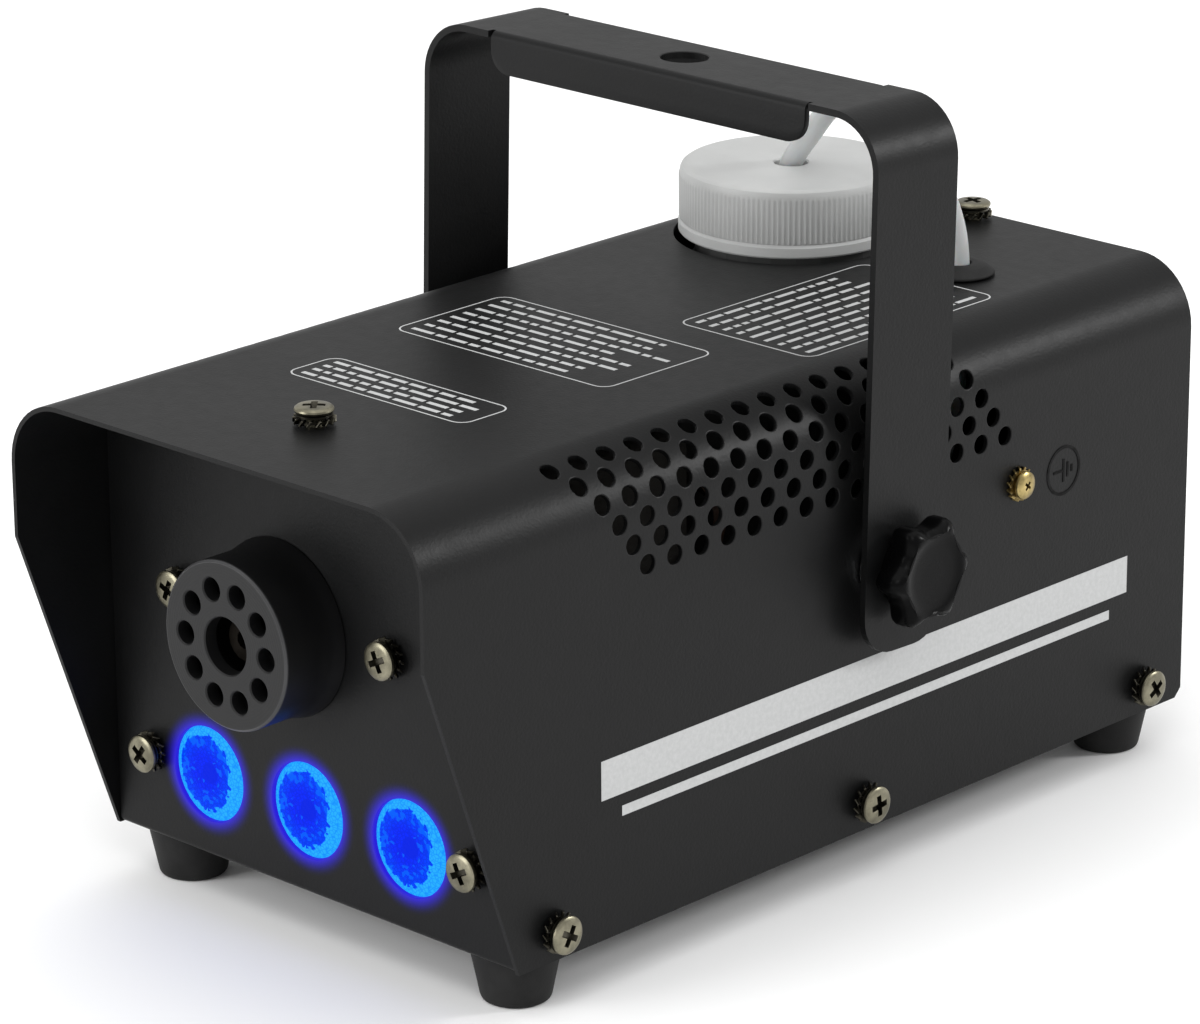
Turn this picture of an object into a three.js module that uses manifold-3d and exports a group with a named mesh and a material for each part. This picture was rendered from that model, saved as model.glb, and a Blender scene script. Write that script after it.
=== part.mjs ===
// Small stage fog machine: folded casing with a hanging bracket, fluid bottle, pump, heater and three LEDs.
// Millimetres, +Z up. The nozzle faces -Y. The origin is on the ground under the middle of the machine.
import * as THREE from "three";
import { mergeVertices } from "three/addons/utils/BufferGeometryUtils.js";
import Module from "manifold-3d";

// Driving dimensions. Heights named ..._Z are above the casing's lower edge.
const CASING_W = 120;
const CASING_L = 237.4;
const CASING_H = 101.4;
const EDGE_R = 14.6;
const SHEET = 1;
const GAP = 0.3;
const HOOD_DEPTH = 24.8;
const HOOD_Z = 70.6;
const REAR_SET = 1.2;
const FLANGE_H = 14;
const REAR_CORNER_CUT = 2;

const VENT_D = 4.6;
const VENT_PITCH = 7.93;
const VENT_ROW_PITCH = 5.1;
const VENT_ROWS = 6;
const VENT_COLUMNS = 15;
const VENT_SIDES = 6;
const VENT_MID_Y = -10.6;
const VENT_MID_ALONG = 2.9;

const SCREW_R = 2;
const SCREW_HEAD_R = 4.1;
const SCREW_HEAD_H = 1.7;
const WASHER_R = 4.4;
const WASHER_T = 2.2;
const SCREW_LENGTH = 5;
const TOP_SCREW_INSET = 3.4;
const TOP_SCREW_X = 0.8;
const SIDE_SCREW_Z = 6.5;
const SIDE_SCREW_FRONT_INSET = 10.4;
const SIDE_SCREW_REAR_INSET = 13;

const FOOT_H = 11.3;
const FOOT_TOP_R = 9.4;
const FOOT_BASE_R = 7.4;
const FOOT_SIDE_INSET = 11.7;
const FOOT_FRONT_INSET = 10.9;
const FOOT_REAR_INSET = 10.5;
const FOOT_RECESS_R = 5.2;
const FOOT_RECESS_H = 5;

const NOZZLE_X = -6.9;
const NOZZLE_Z = 57.2;
const NOZZLE_R = 18.05;
const NOZZLE_FLARE = 1.05;
const NOZZLE_FLARE_L = 4;
const NOZZLE_L = 15.5;
const NOZZLE_WALL = 3.2;
const NOZZLE_MOUTH_R = 6.1;
const NOZZLE_HOLE_R = 2.45;
const NOZZLE_HOLE_RING_R = 11.9;
const NOZZLE_HOLES = 10;
const OUTLET_R = 4.5;
const OUTLET_BORE_R = 2;

const LED_PITCH = 29.8;
const LED_X = -0.6;
const LED_Z = 18.7;
const LED_HOLE_R = 10.4;
const LED_FLANGE_R = 11.8;
const LED_SCREW_SPAN = 94.8;
const HOLDER_W = 106;
const HOLDER_H = 24;
const HOLDER_T = 10;
const LENS_FLANGE_T = 1.5;
const REFLECTOR_R = 8;

const HEATER_SCREW_SPAN = 62;
const HEATER_SCREW_Z = 58.8;
const HEATER_SIZE = 38;
const HEATER_L = 82;
const HEATER_START = 16;
const WRAP_T = 5;
const ELEMENT_R = 5;
const ELEMENT_DROP = 9;
const INLET_Z = 63.2;

const CAP_X = -22;
const CAP_REAR_INSET = 39.5;
const CAP_R = 25.2;
const CAP_H = 15.4;
const CAP_RISE = 0.8;
const CAP_WALL = 1.6;
const CAP_HOLE_R = 26.3;
const CAP_HOSE_HOLE_R = 3.8;
const BOTTLE_SIZE = 60;
const BOTTLE_CORNER_R = 10;
const BOTTLE_WALL = 1.4;
const BOTTLE_NECK_R = 21.5;
const BOTTLE_BASE_Z = 5;
const BOTTLE_SHOULDER_DROP = 17.4;
const CRADLE_H = 18;

const HOSE_R = 2.5;
const GROMMET_X = 27;
const GROMMET_R = 8;
const GROMMET_HOLE_R = 5.5;
const GROMMET_RISE = 2.6;

const BRACKET_Y = 16.5;
const BRACKET_Z = 58.8;
const BRACKET_LEAN = THREE.MathUtils.degToRad(-1.7);
const BRACKET_T = 1.5;
const BRACKET_W = 25;
const BRACKET_CLEARANCE = 3.8;
const BRACKET_RISE = 97.5;
const BRACKET_DROP = 17.8;
const BRACKET_CORNER_R = 12.2;
const LEG_END_R = 9;
const LIP_INSET = 20.3;
const LIP_H = 8.9;
const LIP_CORNER_R = 5;
const CLAMP_HOLE_R = 5.2;
const STUD_R = 2.9;
const BUSH_FLANGE_R = 9;
const BUSH_BARREL_R = 5;
const BUSH_DEPTH = 8;

const KNOB_R = 12;
const KNOB_VALLEY = 1.7;
const KNOB_LOBES = 6;
const KNOB_T = 6.6;
const KNOB_HUB_R = 8;
const KNOB_HUB_T = 1.4;

const PUMP_X = 29;
const PUMP_Z = 30;
const PUMP_L = 38;
const COIL_L = 22;
const COIL_INSET = 6;
const COIL_BEHIND_HEATER = 1.9;
const PUMP_R = 9;
const SPIGOT_R = 2.2;
const SPIGOT_L = 6.5;
const COIL_SIZE = 30;

const EARTH_Y = 59.4;
const EARTH_Z = 65.2;

const GLAND_X = 44;
const GLAND_Z = 20;
const GLAND_R = 8;
const GLAND_BORE_R = 3.6;
const GLAND_L = 12;
const SOCKET_X = 23;
const SOCKET_Z = 20;
const SOCKET_R = 8;
const FUSE_X = 44;
const FUSE_Z = 46;
const FUSE_R = 6.5;
const FUSE_BORE_R = 4;
const FUSE_LINK_R = 2.6;
const FUSE_LINK_L = 20;
const FUSE_CAP_REACH = 5;
const SWITCH_X = 34;
const SWITCH_Z = 74;
const SWITCH_W = 19.4;
const SWITCH_H = 13.4;
const SWITCH_RIM = 1.6;
const ROCKER_TILT = THREE.MathUtils.degToRad(8);

// Faces and levels that several pieces share.
const FRONT_Y = -CASING_L / 2 + HOOD_DEPTH;
const REAR_Y = CASING_L / 2 - REAR_SET;
const TRAY_HALF = CASING_W / 2 - SHEET - GAP;
const FLOOR_Z = GAP + SHEET;
const SCREW_HOLE_R = SCREW_R + GAP;
const HOSE_HOLE_R = HOSE_R + GAP;
const CAP_TOP_Z = CASING_H + CAP_RISE + CAP_H;
const CAP_Y = REAR_Y - CAP_REAR_INSET;
const BRACKET_HALF = CASING_W / 2 + BRACKET_CLEARANCE + BRACKET_T;
const LIP_HALF_W = BRACKET_HALF - LIP_INSET;
const HEATER_FRONT = FRONT_Y + HEATER_START;
const HEATER_REAR = HEATER_FRONT + HEATER_L;
const PUMP_FRONT = HEATER_REAR + COIL_BEHIND_HEATER - COIL_INSET;
const PUMP_REAR = PUMP_FRONT + PUMP_L;

const wasm = await Module();
wasm.setup();

// ---------- shapes ----------

// A closed three.js geometry as a manifold-3d solid.
function solid(geometry) {
  const bare = geometry.index ? geometry.toNonIndexed() : geometry.clone();
  bare.deleteAttribute("normal");
  bare.deleteAttribute("uv");
  const merged = mergeVertices(bare, 1e-4);
  return new wasm.Manifold(
    new wasm.Mesh({
      numProp: 3,
      vertProperties: merged.attributes.position.array,
      triVerts: new Uint32Array(merged.index.array),
    }),
  );
}

// A manifold-3d solid as a three.js geometry with flat faces.
function geometryOf(made) {
  const mesh = made.getMesh();
  const geometry = new THREE.BufferGeometry();
  geometry.setAttribute("position", new THREE.BufferAttribute(mesh.vertProperties, 3));
  geometry.setIndex(new THREE.BufferAttribute(mesh.triVerts, 1));
  const flat = geometry.toNonIndexed();
  flat.computeVertexNormals();
  return flat;
}

function unite(first, ...others) {
  return others.reduce((whole, piece) => whole.add(piece), first);
}

function cut(first, ...others) {
  return others.reduce((whole, piece) => whole.subtract(piece), first);
}

function box([x0, x1], [y0, y1], [z0, z1]) {
  const geometry = new THREE.BoxGeometry(x1 - x0, y1 - y0, z1 - z0);
  geometry.translate((x0 + x1) / 2, (y0 + y1) / 2, (z0 + z1) / 2);
  return solid(geometry);
}

// Turns a shape that stands along Z so that it stands along the named axis.
function alongAxis(geometry, axis) {
  if (axis === "x") geometry.rotateY(Math.PI / 2);
  if (axis === "y") geometry.rotateX(-Math.PI / 2);
  return geometry;
}

// A round bar from one station to another along an axis; centre gives its middle at station 0.
function rod(axis, radius, [from, to], centre = [0, 0, 0], sides = 24) {
  const geometry = new THREE.CylinderGeometry(radius, radius, to - from, sides);
  geometry.rotateX(Math.PI / 2);
  geometry.translate(0, 0, (from + to) / 2);
  alongAxis(geometry, axis);
  geometry.translate(...centre);
  return solid(geometry);
}

// A turned piece: profile holds [radius, station] pairs from the first station to the last.
function turned(axis, profile, centre = [0, 0, 0], sides = 24) {
  const points = profile.map(([radius, station]) => new THREE.Vector2(radius, station));
  const geometry = new THREE.LatheGeometry(points, sides);
  geometry.rotateX(Math.PI / 2);
  alongAxis(geometry, axis);
  geometry.translate(...centre);
  return solid(geometry);
}

// An outline pushed along an axis. Its two coordinates are (y, z) for x, (x, z) for y and (x, y) for z.
function prism(axis, shape, [from, to], curveSegments = 6) {
  const depth = to - from;
  const geometry = new THREE.ExtrudeGeometry(shape, { depth, bevelEnabled: false, curveSegments });
  const x = new THREE.Vector3(1, 0, 0);
  const y = new THREE.Vector3(0, 1, 0);
  const z = new THREE.Vector3(0, 0, 1);
  const turn = new THREE.Matrix4();
  if (axis === "x") turn.makeBasis(y, z, x).setPosition(from, 0, 0);
  if (axis === "y") turn.makeBasis(x, z, y.clone().negate()).setPosition(0, to, 0);
  if (axis === "z") turn.makeTranslation(0, 0, from);
  return solid(geometry.applyMatrix4(turn));
}

// A smooth tube through points, with a step about every stepLength.
function tube(points, radius, sides, stepLength) {
  const path = new THREE.CatmullRomCurve3(points.map((point) => new THREE.Vector3(...point)));
  const steps = Math.ceil(path.getLength() / stepLength);
  const section = new THREE.Shape();
  for (let side = 0; side < sides; side += 1) {
    const angle = (2 * Math.PI * side) / sides;
    const corner = [radius * Math.cos(angle), radius * Math.sin(angle)];
    if (side === 0) section.moveTo(...corner);
    else section.lineTo(...corner);
  }
  section.closePath();
  return new THREE.ExtrudeGeometry(section, { steps, extrudePath: path, bevelEnabled: false });
}

function roundedRectangle(halfWidth, halfHeight, radius) {
  const shape = new THREE.Shape();
  shape.moveTo(-halfWidth + radius, -halfHeight);
  shape.lineTo(halfWidth - radius, -halfHeight);
  shape.absarc(halfWidth - radius, -halfHeight + radius, radius, -Math.PI / 2, 0);
  shape.lineTo(halfWidth, halfHeight - radius);
  shape.absarc(halfWidth - radius, halfHeight - radius, radius, 0, Math.PI / 2);
  shape.lineTo(-halfWidth + radius, halfHeight);
  shape.absarc(-halfWidth + radius, halfHeight - radius, radius, Math.PI / 2, Math.PI);
  shape.lineTo(-halfWidth, -halfHeight + radius);
  shape.absarc(-halfWidth + radius, -halfHeight + radius, radius, Math.PI, 1.5 * Math.PI);
  return shape;
}

// A flat-topped arch with round shoulders: the bracket's strip.
function archOutline(halfWidth, top, radius, bottom) {
  const shape = new THREE.Shape();
  shape.moveTo(-halfWidth, bottom);
  shape.lineTo(halfWidth, bottom);
  shape.lineTo(halfWidth, top - radius);
  shape.absarc(halfWidth - radius, top - radius, radius, 0, Math.PI / 2);
  shape.lineTo(-halfWidth + radius, top);
  shape.absarc(-halfWidth + radius, top - radius, radius, Math.PI / 2, Math.PI);
  shape.lineTo(-halfWidth, bottom);
  return shape;
}

// A point of the right-hand skin, pushed in by inset.
// The distance runs up the skin from where its rounding starts.
function skinPoint(along, inset) {
  const angle = Math.max(along, 0) / EDGE_R;
  const radius = EDGE_R - inset;
  return [
    CASING_W / 2 - EDGE_R + radius * Math.cos(angle),
    CASING_H - EDGE_R + radius * Math.sin(angle) + Math.min(along, 0),
  ];
}

function ventRowAlong(row) {
  return VENT_MID_ALONG - (row - (VENT_ROWS - 1) / 2) * VENT_ROW_PITCH;
}

// The casing's section. The rounding has its edges halfway between the vent rows,
// so each row lies in one flat.
function skinOutline(inset, bottom) {
  const edges = [];
  for (let row = VENT_ROWS - 2; row >= 0; row -= 1) {
    const along = ventRowAlong(row) - VENT_ROW_PITCH / 2;
    if (along > -VENT_ROW_PITCH / 2) edges.push(skinPoint(along, inset));
  }
  edges.push(skinPoint(ventRowAlong(0) + VENT_ROW_PITCH / 2, inset));
  edges.push(skinPoint((EDGE_R * Math.PI) / 2, inset));
  const shape = new THREE.Shape();
  shape.moveTo(CASING_W / 2 - inset, bottom);
  for (const [x, z] of edges) shape.lineTo(x, z);
  for (const [x, z] of edges.reverse()) shape.lineTo(-x, z);
  shape.lineTo(-CASING_W / 2 + inset, bottom);
  return shape;
}

// ---------- materials ----------

function finish(color, roughness, metalness, opacity = 1) {
  return new THREE.MeshStandardMaterial({
    color,
    roughness,
    metalness,
    opacity,
    transparent: opacity < 1,
  });
}

const blackPaint = finish(0x1b1c1c, 0.45, 0.2);
const blackPlastic = finish(0x151616, 0.4, 0);
const blackRubber = finish(0x121212, 0.8, 0);
const nickel = finish(0x8c8474, 0.3, 1);
const brass = finish(0xb58f3c, 0.3, 1);
const steel = finish(0x9a9c9e, 0.35, 1);
const aluminium = finish(0xb4b6b8, 0.4, 1);
const copper = finish(0xb06a42, 0.35, 1);
const whitePlastic = finish(0xe8e9e6, 0.45, 0);
const clearPlastic = finish(0xd6d8d6, 0.3, 0, 0.7);
const fuseGlass = finish(0xcfd8d6, 0.1, 0, 0.6);
const blueLens = finish(0x0b3cff, 0.15, 0);
const circuitGreen = finish(0x1d5a35, 0.5, 0);
const woolWhite = finish(0xd8d3c4, 0.95, 0);

const casing = new THREE.Group();
casing.position.z = FOOT_H;

function add(parent, name, material, shape, position = [0, 0, 0], rotation = [0, 0, 0]) {
  const geometry = shape.isBufferGeometry ? shape : geometryOf(shape);
  const mesh = new THREE.Mesh(geometry, material);
  mesh.name = name;
  mesh.position.set(...position);
  mesh.rotation.set(...rotation);
  parent.add(mesh);
  return mesh;
}

// ---------- places that pieces share ----------

const SIDES = [
  { side: "right", sign: 1 },
  { side: "left", sign: -1 },
];

const SIDE_SCREW_FRONT_Y = FRONT_Y + SIDE_SCREW_FRONT_INSET;
const SIDE_SCREW_REAR_Y = REAR_Y - SIDE_SCREW_REAR_INSET;

const SIDE_SCREWS = [
  { where: "front", y: SIDE_SCREW_FRONT_Y },
  { where: "mid", y: (SIDE_SCREW_FRONT_Y + SIDE_SCREW_REAR_Y) / 2 },
  { where: "rear", y: SIDE_SCREW_REAR_Y },
];

const TOP_SCREWS = [
  { where: "front", y: FRONT_Y + TOP_SCREW_INSET },
  { where: "rear", y: REAR_Y - TOP_SCREW_INSET },
];

const FRONT_SCREWS = [
  { where: "upper_left", x: NOZZLE_X + 1 - HEATER_SCREW_SPAN / 2, z: HEATER_SCREW_Z },
  { where: "upper_right", x: NOZZLE_X + 1 + HEATER_SCREW_SPAN / 2, z: HEATER_SCREW_Z },
  { where: "lower_left", x: -LED_SCREW_SPAN / 2, z: LED_Z + 0.9 },
  { where: "lower_right", x: LED_SCREW_SPAN / 2, z: LED_Z + 0.9 },
];

const LED_PLACES = [
  { where: "left", x: LED_X - LED_PITCH },
  { where: "middle", x: LED_X },
  { where: "right", x: LED_X + LED_PITCH },
];

const FOOT_X = CASING_W / 2 - FOOT_SIDE_INSET;

const FEET = [
  { where: "front_left", x: -FOOT_X, y: FRONT_Y + FOOT_FRONT_INSET },
  { where: "front_right", x: FOOT_X, y: FRONT_Y + FOOT_FRONT_INSET },
  { where: "rear_left", x: -FOOT_X, y: REAR_Y - FOOT_REAR_INSET },
  { where: "rear_right", x: FOOT_X, y: REAR_Y - FOOT_REAR_INSET },
];

// ---------- casing ----------

// A vent punched square to the skin of the side that sign names.
function ventPunch(sign, y, along) {
  const angle = Math.max(along, 0) / EDGE_R;
  const [x, z] = skinPoint(along, 0);
  const punch = new THREE.CylinderGeometry(VENT_D / 2, VENT_D / 2, 6 * SHEET, VENT_SIDES);
  punch.rotateZ(Math.PI / 2);
  punch.rotateY(-angle);
  punch.translate(x, 0, z);
  if (sign < 0) punch.rotateZ(Math.PI);
  punch.translate(0, y, 0);
  return solid(punch);
}

// Each row is punched half a pitch further back than the row above it.
function ventPunches(sign) {
  const punches = [];
  for (let row = 0; row < VENT_ROWS; row += 1) {
    const stagger = (row - (VENT_ROWS - 1) / 2) / 2;
    for (let column = 0; column < VENT_COLUMNS; column += 1) {
      const place = column - (VENT_COLUMNS - 1) / 2 + stagger;
      punches.push(ventPunch(sign, VENT_MID_Y + VENT_PITCH * place, ventRowAlong(row)));
    }
  }
  return punches;
}

// The hood's side walls are cut back on a slant, from the hood's lip to the foot of the front panel.
function hoodCut() {
  const lip = -CASING_L / 2;
  const past = 0.1;
  const shape = new THREE.Shape();
  shape.moveTo(lip - past * HOOD_DEPTH, (1 + past) * HOOD_Z);
  shape.lineTo(lip - past * HOOD_DEPTH, -past * HOOD_Z);
  shape.lineTo(lip + (1 + past) * HOOD_DEPTH, -past * HOOD_Z);
  return prism("x", shape, [-CASING_W, CASING_W]);
}

function rearCornerCut() {
  const rear = CASING_L / 2;
  const shape = new THREE.Shape();
  shape.moveTo(rear - REAR_CORNER_CUT, 0);
  shape.lineTo(rear, REAR_CORNER_CUT);
  shape.lineTo(rear + SHEET, -SHEET);
  return prism("x", shape, [-CASING_W, CASING_W]);
}

function upperCover() {
  const skin = [-CASING_L / 2, CASING_L / 2];
  const through = [-CASING_L / 2 - SHEET, CASING_L / 2 + SHEET];
  const half = CASING_W / 2;
  const outer = skinOutline(0, 0);
  const inner = skinOutline(SHEET, -SHEET);
  let cover = prism("y", outer, skin).subtract(prism("y", inner, through));
  cover = cut(cover, hoodCut(), rearCornerCut());
  const drill = [CASING_H - 2 * SHEET, CASING_H + SHEET];
  cover = cut(
    cover,
    rod("z", CAP_HOLE_R, drill, [CAP_X, CAP_Y, 0], 36),
    rod("z", GROMMET_HOLE_R, drill, [GROMMET_X, CAP_Y, 0], 20),
  );
  for (const { y } of TOP_SCREWS)
    cover = cover.subtract(rod("z", SCREW_HOLE_R, drill, [TOP_SCREW_X, y, 0], 8));
  for (const { y } of SIDE_SCREWS)
    cover = cover.subtract(rod("x", SCREW_HOLE_R, [-half - SHEET, half + SHEET], [0, y, SIDE_SCREW_Z], 8));
  const pivot = [0, BRACKET_Y, BRACKET_Z];
  cover = cover.subtract(rod("x", BUSH_BARREL_R + GAP, [-half - SHEET, half + SHEET], pivot, 16));
  const rightWall = [half - 2 * SHEET, half + SHEET];
  cover = cover.subtract(rod("x", SCREW_HOLE_R, rightWall, [0, EARTH_Y, EARTH_Z], 8));
  return cut(cover, ...ventPunches(1), ...ventPunches(-1));
}

// Floor, front panel, rear panel and side flanges, folded from one sheet.
function chassisTray() {
  const inside = skinOutline(SHEET + GAP, GAP);
  const panelTop = CASING_H - SHEET - GAP;
  const tongueHalf = TRAY_HALF - EDGE_R;
  let tray = unite(
    box([-TRAY_HALF, TRAY_HALF], [FRONT_Y, REAR_Y], [GAP, FLOOR_Z]),
    prism("y", inside, [FRONT_Y, FRONT_Y + SHEET]),
    prism("y", inside, [REAR_Y - SHEET, REAR_Y]),
    box([-tongueHalf, tongueHalf], [FRONT_Y, FRONT_Y + 9], [panelTop - SHEET, panelTop]),
    box([-8, 8], [REAR_Y - 9, REAR_Y], [panelTop - SHEET, panelTop]),
  );
  for (const { sign } of SIDES) {
    const wall = [TRAY_HALF - SHEET, TRAY_HALF].map((x) => sign * x).sort((a, b) => a - b);
    tray = tray.add(box(wall, [FRONT_Y, REAR_Y], [GAP, FLANGE_H]));
  }
  const frontDrill = [FRONT_Y - SHEET, FRONT_Y + 2 * SHEET];
  const rearDrill = [REAR_Y - 2 * SHEET, REAR_Y + SHEET];
  tray = tray.subtract(rod("y", OUTLET_R + 2, frontDrill, [NOZZLE_X, 0, NOZZLE_Z], 20));
  for (const { x } of LED_PLACES)
    tray = tray.subtract(rod("y", LED_HOLE_R, frontDrill, [x, 0, LED_Z], 20));
  for (const { x, z } of FRONT_SCREWS)
    tray = tray.subtract(rod("y", SCREW_HOLE_R, frontDrill, [x, 0, z], 8));
  const topDrill = [panelTop - 2 * SHEET, panelTop + SHEET];
  for (const { y } of TOP_SCREWS)
    tray = tray.subtract(rod("z", SCREW_HOLE_R, topDrill, [TOP_SCREW_X, y, 0], 8));
  for (const { y } of SIDE_SCREWS)
    tray = tray.subtract(rod("x", SCREW_HOLE_R, [-CASING_W / 2, CASING_W / 2], [0, y, SIDE_SCREW_Z], 8));
  for (const { x, y } of FEET) tray = tray.subtract(rod("z", SCREW_HOLE_R, [0, 2 * SHEET], [x, y, 0], 8));
  const switchWell = roundedRectangle(SWITCH_W / 2 + GAP, SWITCH_H / 2 + GAP, 1);
  return cut(
    tray,
    rod("y", GLAND_R - 2 + GAP, rearDrill, [GLAND_X, 0, GLAND_Z], 20),
    rod("y", SOCKET_R - 2 + GAP, rearDrill, [SOCKET_X, 0, SOCKET_Z], 20),
    rod("y", FUSE_R - 1.5 + GAP, rearDrill, [FUSE_X, 0, FUSE_Z], 20),
    prism("y", switchWell, rearDrill, 2).translate(SWITCH_X, 0, SWITCH_Z),
  );
}

// ---------- fasteners and feet ----------

// Pan-head screw with its washers. It stands along +Z, and they sit just clear of the surface at 0.
function screw(length) {
  const top = GAP + WASHER_T + SCREW_HEAD_H;
  const body = turned(
    "z",
    [
      [0, -length],
      [SCREW_R, -length],
      [SCREW_R, GAP],
      [WASHER_R, GAP],
      [WASHER_R, GAP + WASHER_T],
      [SCREW_HEAD_R, GAP + WASHER_T],
      [SCREW_HEAD_R - 0.9, top],
      [0, top],
    ],
    [0, 0, 0],
    8,
  );
  const recess = [-1.2, 1.2];
  return body.subtract(box(recess, recess, [top - 1.6, top + 1]));
}

// Truncated rubber cone with a recess underneath for its screw. Its top is at 0.
function foot() {
  const profile = [
    [0, -FOOT_H],
    [FOOT_BASE_R - 0.8, -FOOT_H],
    [FOOT_BASE_R, -FOOT_H + 0.9],
    [FOOT_TOP_R, 0],
    [0, 0],
  ];
  return cut(
    turned("z", profile, [0, 0, 0], 18),
    rod("z", FOOT_RECESS_R, [-FOOT_H - 1, -FOOT_H + FOOT_RECESS_H], [0, 0, 0], 12),
    rod("z", SCREW_HOLE_R, [-FOOT_H, 1], [0, 0, 0], 8),
  );
}

function addFeet() {
  const footShape = geometryOf(foot());
  const screwShape = geometryOf(screw(FOOT_H - FOOT_RECESS_H + SHEET));
  for (const { where, x, y } of FEET) {
    add(casing, `foot_${where}`, blackRubber, footShape, [x, y, 0]);
    const seat = -FOOT_H + FOOT_RECESS_H;
    add(casing, `foot_screw_${where}`, nickel, screwShape, [x, y, seat], [Math.PI, 0, 0]);
  }
}

function addScrews() {
  const shape = geometryOf(screw(SCREW_LENGTH));
  for (const { where, x, z } of FRONT_SCREWS)
    add(casing, `front_screw_${where}`, nickel, shape, [x, FRONT_Y, z], [Math.PI / 2, 0, 0]);
  for (const { side, sign } of SIDES)
    for (const { where, y } of SIDE_SCREWS) {
      const place = [(sign * CASING_W) / 2, y, SIDE_SCREW_Z];
      add(casing, `side_screw_${side}_${where}`, nickel, shape, place, [0, (sign * Math.PI) / 2, 0]);
    }
  for (const { where, y } of TOP_SCREWS)
    add(casing, `top_screw_${where}`, nickel, shape, [TOP_SCREW_X, y, CASING_H]);
  const earthPlace = [CASING_W / 2, EARTH_Y, EARTH_Z];
  add(casing, "earth_screw", brass, shape, earthPlace, [0, Math.PI / 2, 0]);
}

// ---------- fog outlet and heater ----------

// Hollow turned cap: a flared foot at the panel, a big mouth and a ring of air holes in its face.
function nozzle() {
  const foot = FRONT_Y - GAP;
  const face = FRONT_Y - NOZZLE_L;
  const shell = turned(
    "y",
    [
      [0, face],
      [NOZZLE_R - 0.6, face],
      [NOZZLE_R, face + 0.6],
      [NOZZLE_R, foot - NOZZLE_FLARE_L],
      [NOZZLE_R + NOZZLE_FLARE, foot - NOZZLE_FLARE_L / 2],
      [NOZZLE_R + NOZZLE_FLARE, foot],
      [0, foot],
    ],
    [NOZZLE_X, 0, NOZZLE_Z],
    32,
  );
  const chamber = rod(
    "y",
    NOZZLE_R - NOZZLE_WALL,
    [face + NOZZLE_WALL, foot + 1],
    [NOZZLE_X, 0, NOZZLE_Z],
    24,
  );
  const drill = [face - 1, face + NOZZLE_WALL + 1];
  let made = cut(shell, chamber, rod("y", NOZZLE_MOUTH_R, drill, [NOZZLE_X, 0, NOZZLE_Z], 16));
  for (let hole = 0; hole < NOZZLE_HOLES; hole += 1) {
    const angle = (2 * Math.PI * hole) / NOZZLE_HOLES;
    const x = NOZZLE_X + NOZZLE_HOLE_RING_R * Math.cos(angle);
    const z = NOZZLE_Z + NOZZLE_HOLE_RING_R * Math.sin(angle);
    made = made.subtract(rod("y", NOZZLE_HOLE_R, drill, [x, 0, z], 8));
  }
  return made;
}

// The hot pipe that carries the vapour from the block through the front panel into the nozzle.
function outletPipe() {
  const tip = FRONT_Y - NOZZLE_L + NOZZLE_WALL + 2;
  const ends = [tip, HEATER_FRONT - GAP];
  const centre = [NOZZLE_X, 0, NOZZLE_Z];
  return rod("y", OUTLET_R, ends, centre, 16).subtract(
    rod("y", OUTLET_BORE_R, [tip - 1, HEATER_FRONT + 1], centre, 10),
  );
}

function heaterBlock() {
  const half = HEATER_SIZE / 2;
  const x = [NOZZLE_X - half, NOZZLE_X + half];
  const z = [NOZZLE_Z - half, NOZZLE_Z + half];
  const block = box(x, [HEATER_FRONT, HEATER_REAR], z);
  const elementCentre = [NOZZLE_X, 0, NOZZLE_Z - ELEMENT_DROP];
  return cut(
    block,
    rod("y", ELEMENT_R + GAP, [HEATER_FRONT + 8, HEATER_REAR + 1], elementCentre, 16),
    rod("y", OUTLET_BORE_R, [HEATER_FRONT - 1, HEATER_REAR + 1], [NOZZLE_X, 0, INLET_Z], 10),
  );
}

function heatingElement() {
  const centre = [NOZZLE_X, 0, NOZZLE_Z - ELEMENT_DROP];
  return unite(
    rod("y", ELEMENT_R, [HEATER_FRONT + 9, HEATER_REAR + 5], centre, 16),
    rod("y", 1.5, [HEATER_REAR + 4, HEATER_REAR + 13], centre, 8),
  );
}

function heaterWrap() {
  const inner = HEATER_SIZE / 2 + GAP;
  const outer = inner + WRAP_T;
  const length = [HEATER_FRONT + 3, HEATER_REAR - 3];
  const past = [length[0] - 1, length[1] + 1];
  const sleeve = prism("y", roundedRectangle(outer, outer, 4), length, 3);
  return sleeve
    .subtract(prism("y", roundedRectangle(inner, inner, 0.5), past, 1))
    .translate(NOZZLE_X, 0, NOZZLE_Z);
}

// Upright plate behind the front panel, and a shelf that the wrapped heater lies on.
function heaterBracket() {
  const half = HEATER_SCREW_SPAN / 2 + 6;
  const middle = NOZZLE_X + 1;
  const back = FRONT_Y + SHEET + GAP;
  const shelfTop = NOZZLE_Z - HEATER_SIZE / 2 - WRAP_T - 2 * GAP;
  const x = [middle - half, middle + half];
  let plate = unite(
    box(x, [back, back + 1.5], [shelfTop - 1.5, NOZZLE_Z + 12]),
    box([middle - 22, middle + 22], [back, HEATER_REAR - 6], [shelfTop - 1.5, shelfTop]),
  );
  plate = plate.subtract(rod("y", OUTLET_R + 2, [back - 1, back + 3], [NOZZLE_X, 0, NOZZLE_Z], 16));
  for (const { x: screwX, z } of FRONT_SCREWS.slice(0, 2))
    plate = plate.subtract(rod("y", SCREW_HOLE_R, [back - 1, back + 3], [screwX, 0, z], 10));
  return plate;
}

function thermostat() {
  const centre = [NOZZLE_X + 10, 0, NOZZLE_Z + 8];
  return unite(
    rod("y", 6.5, [HEATER_REAR + GAP, HEATER_REAR + 5], centre, 16),
    rod("y", 4.5, [HEATER_REAR + 4, HEATER_REAR + 9], centre, 12),
  );
}

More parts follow.
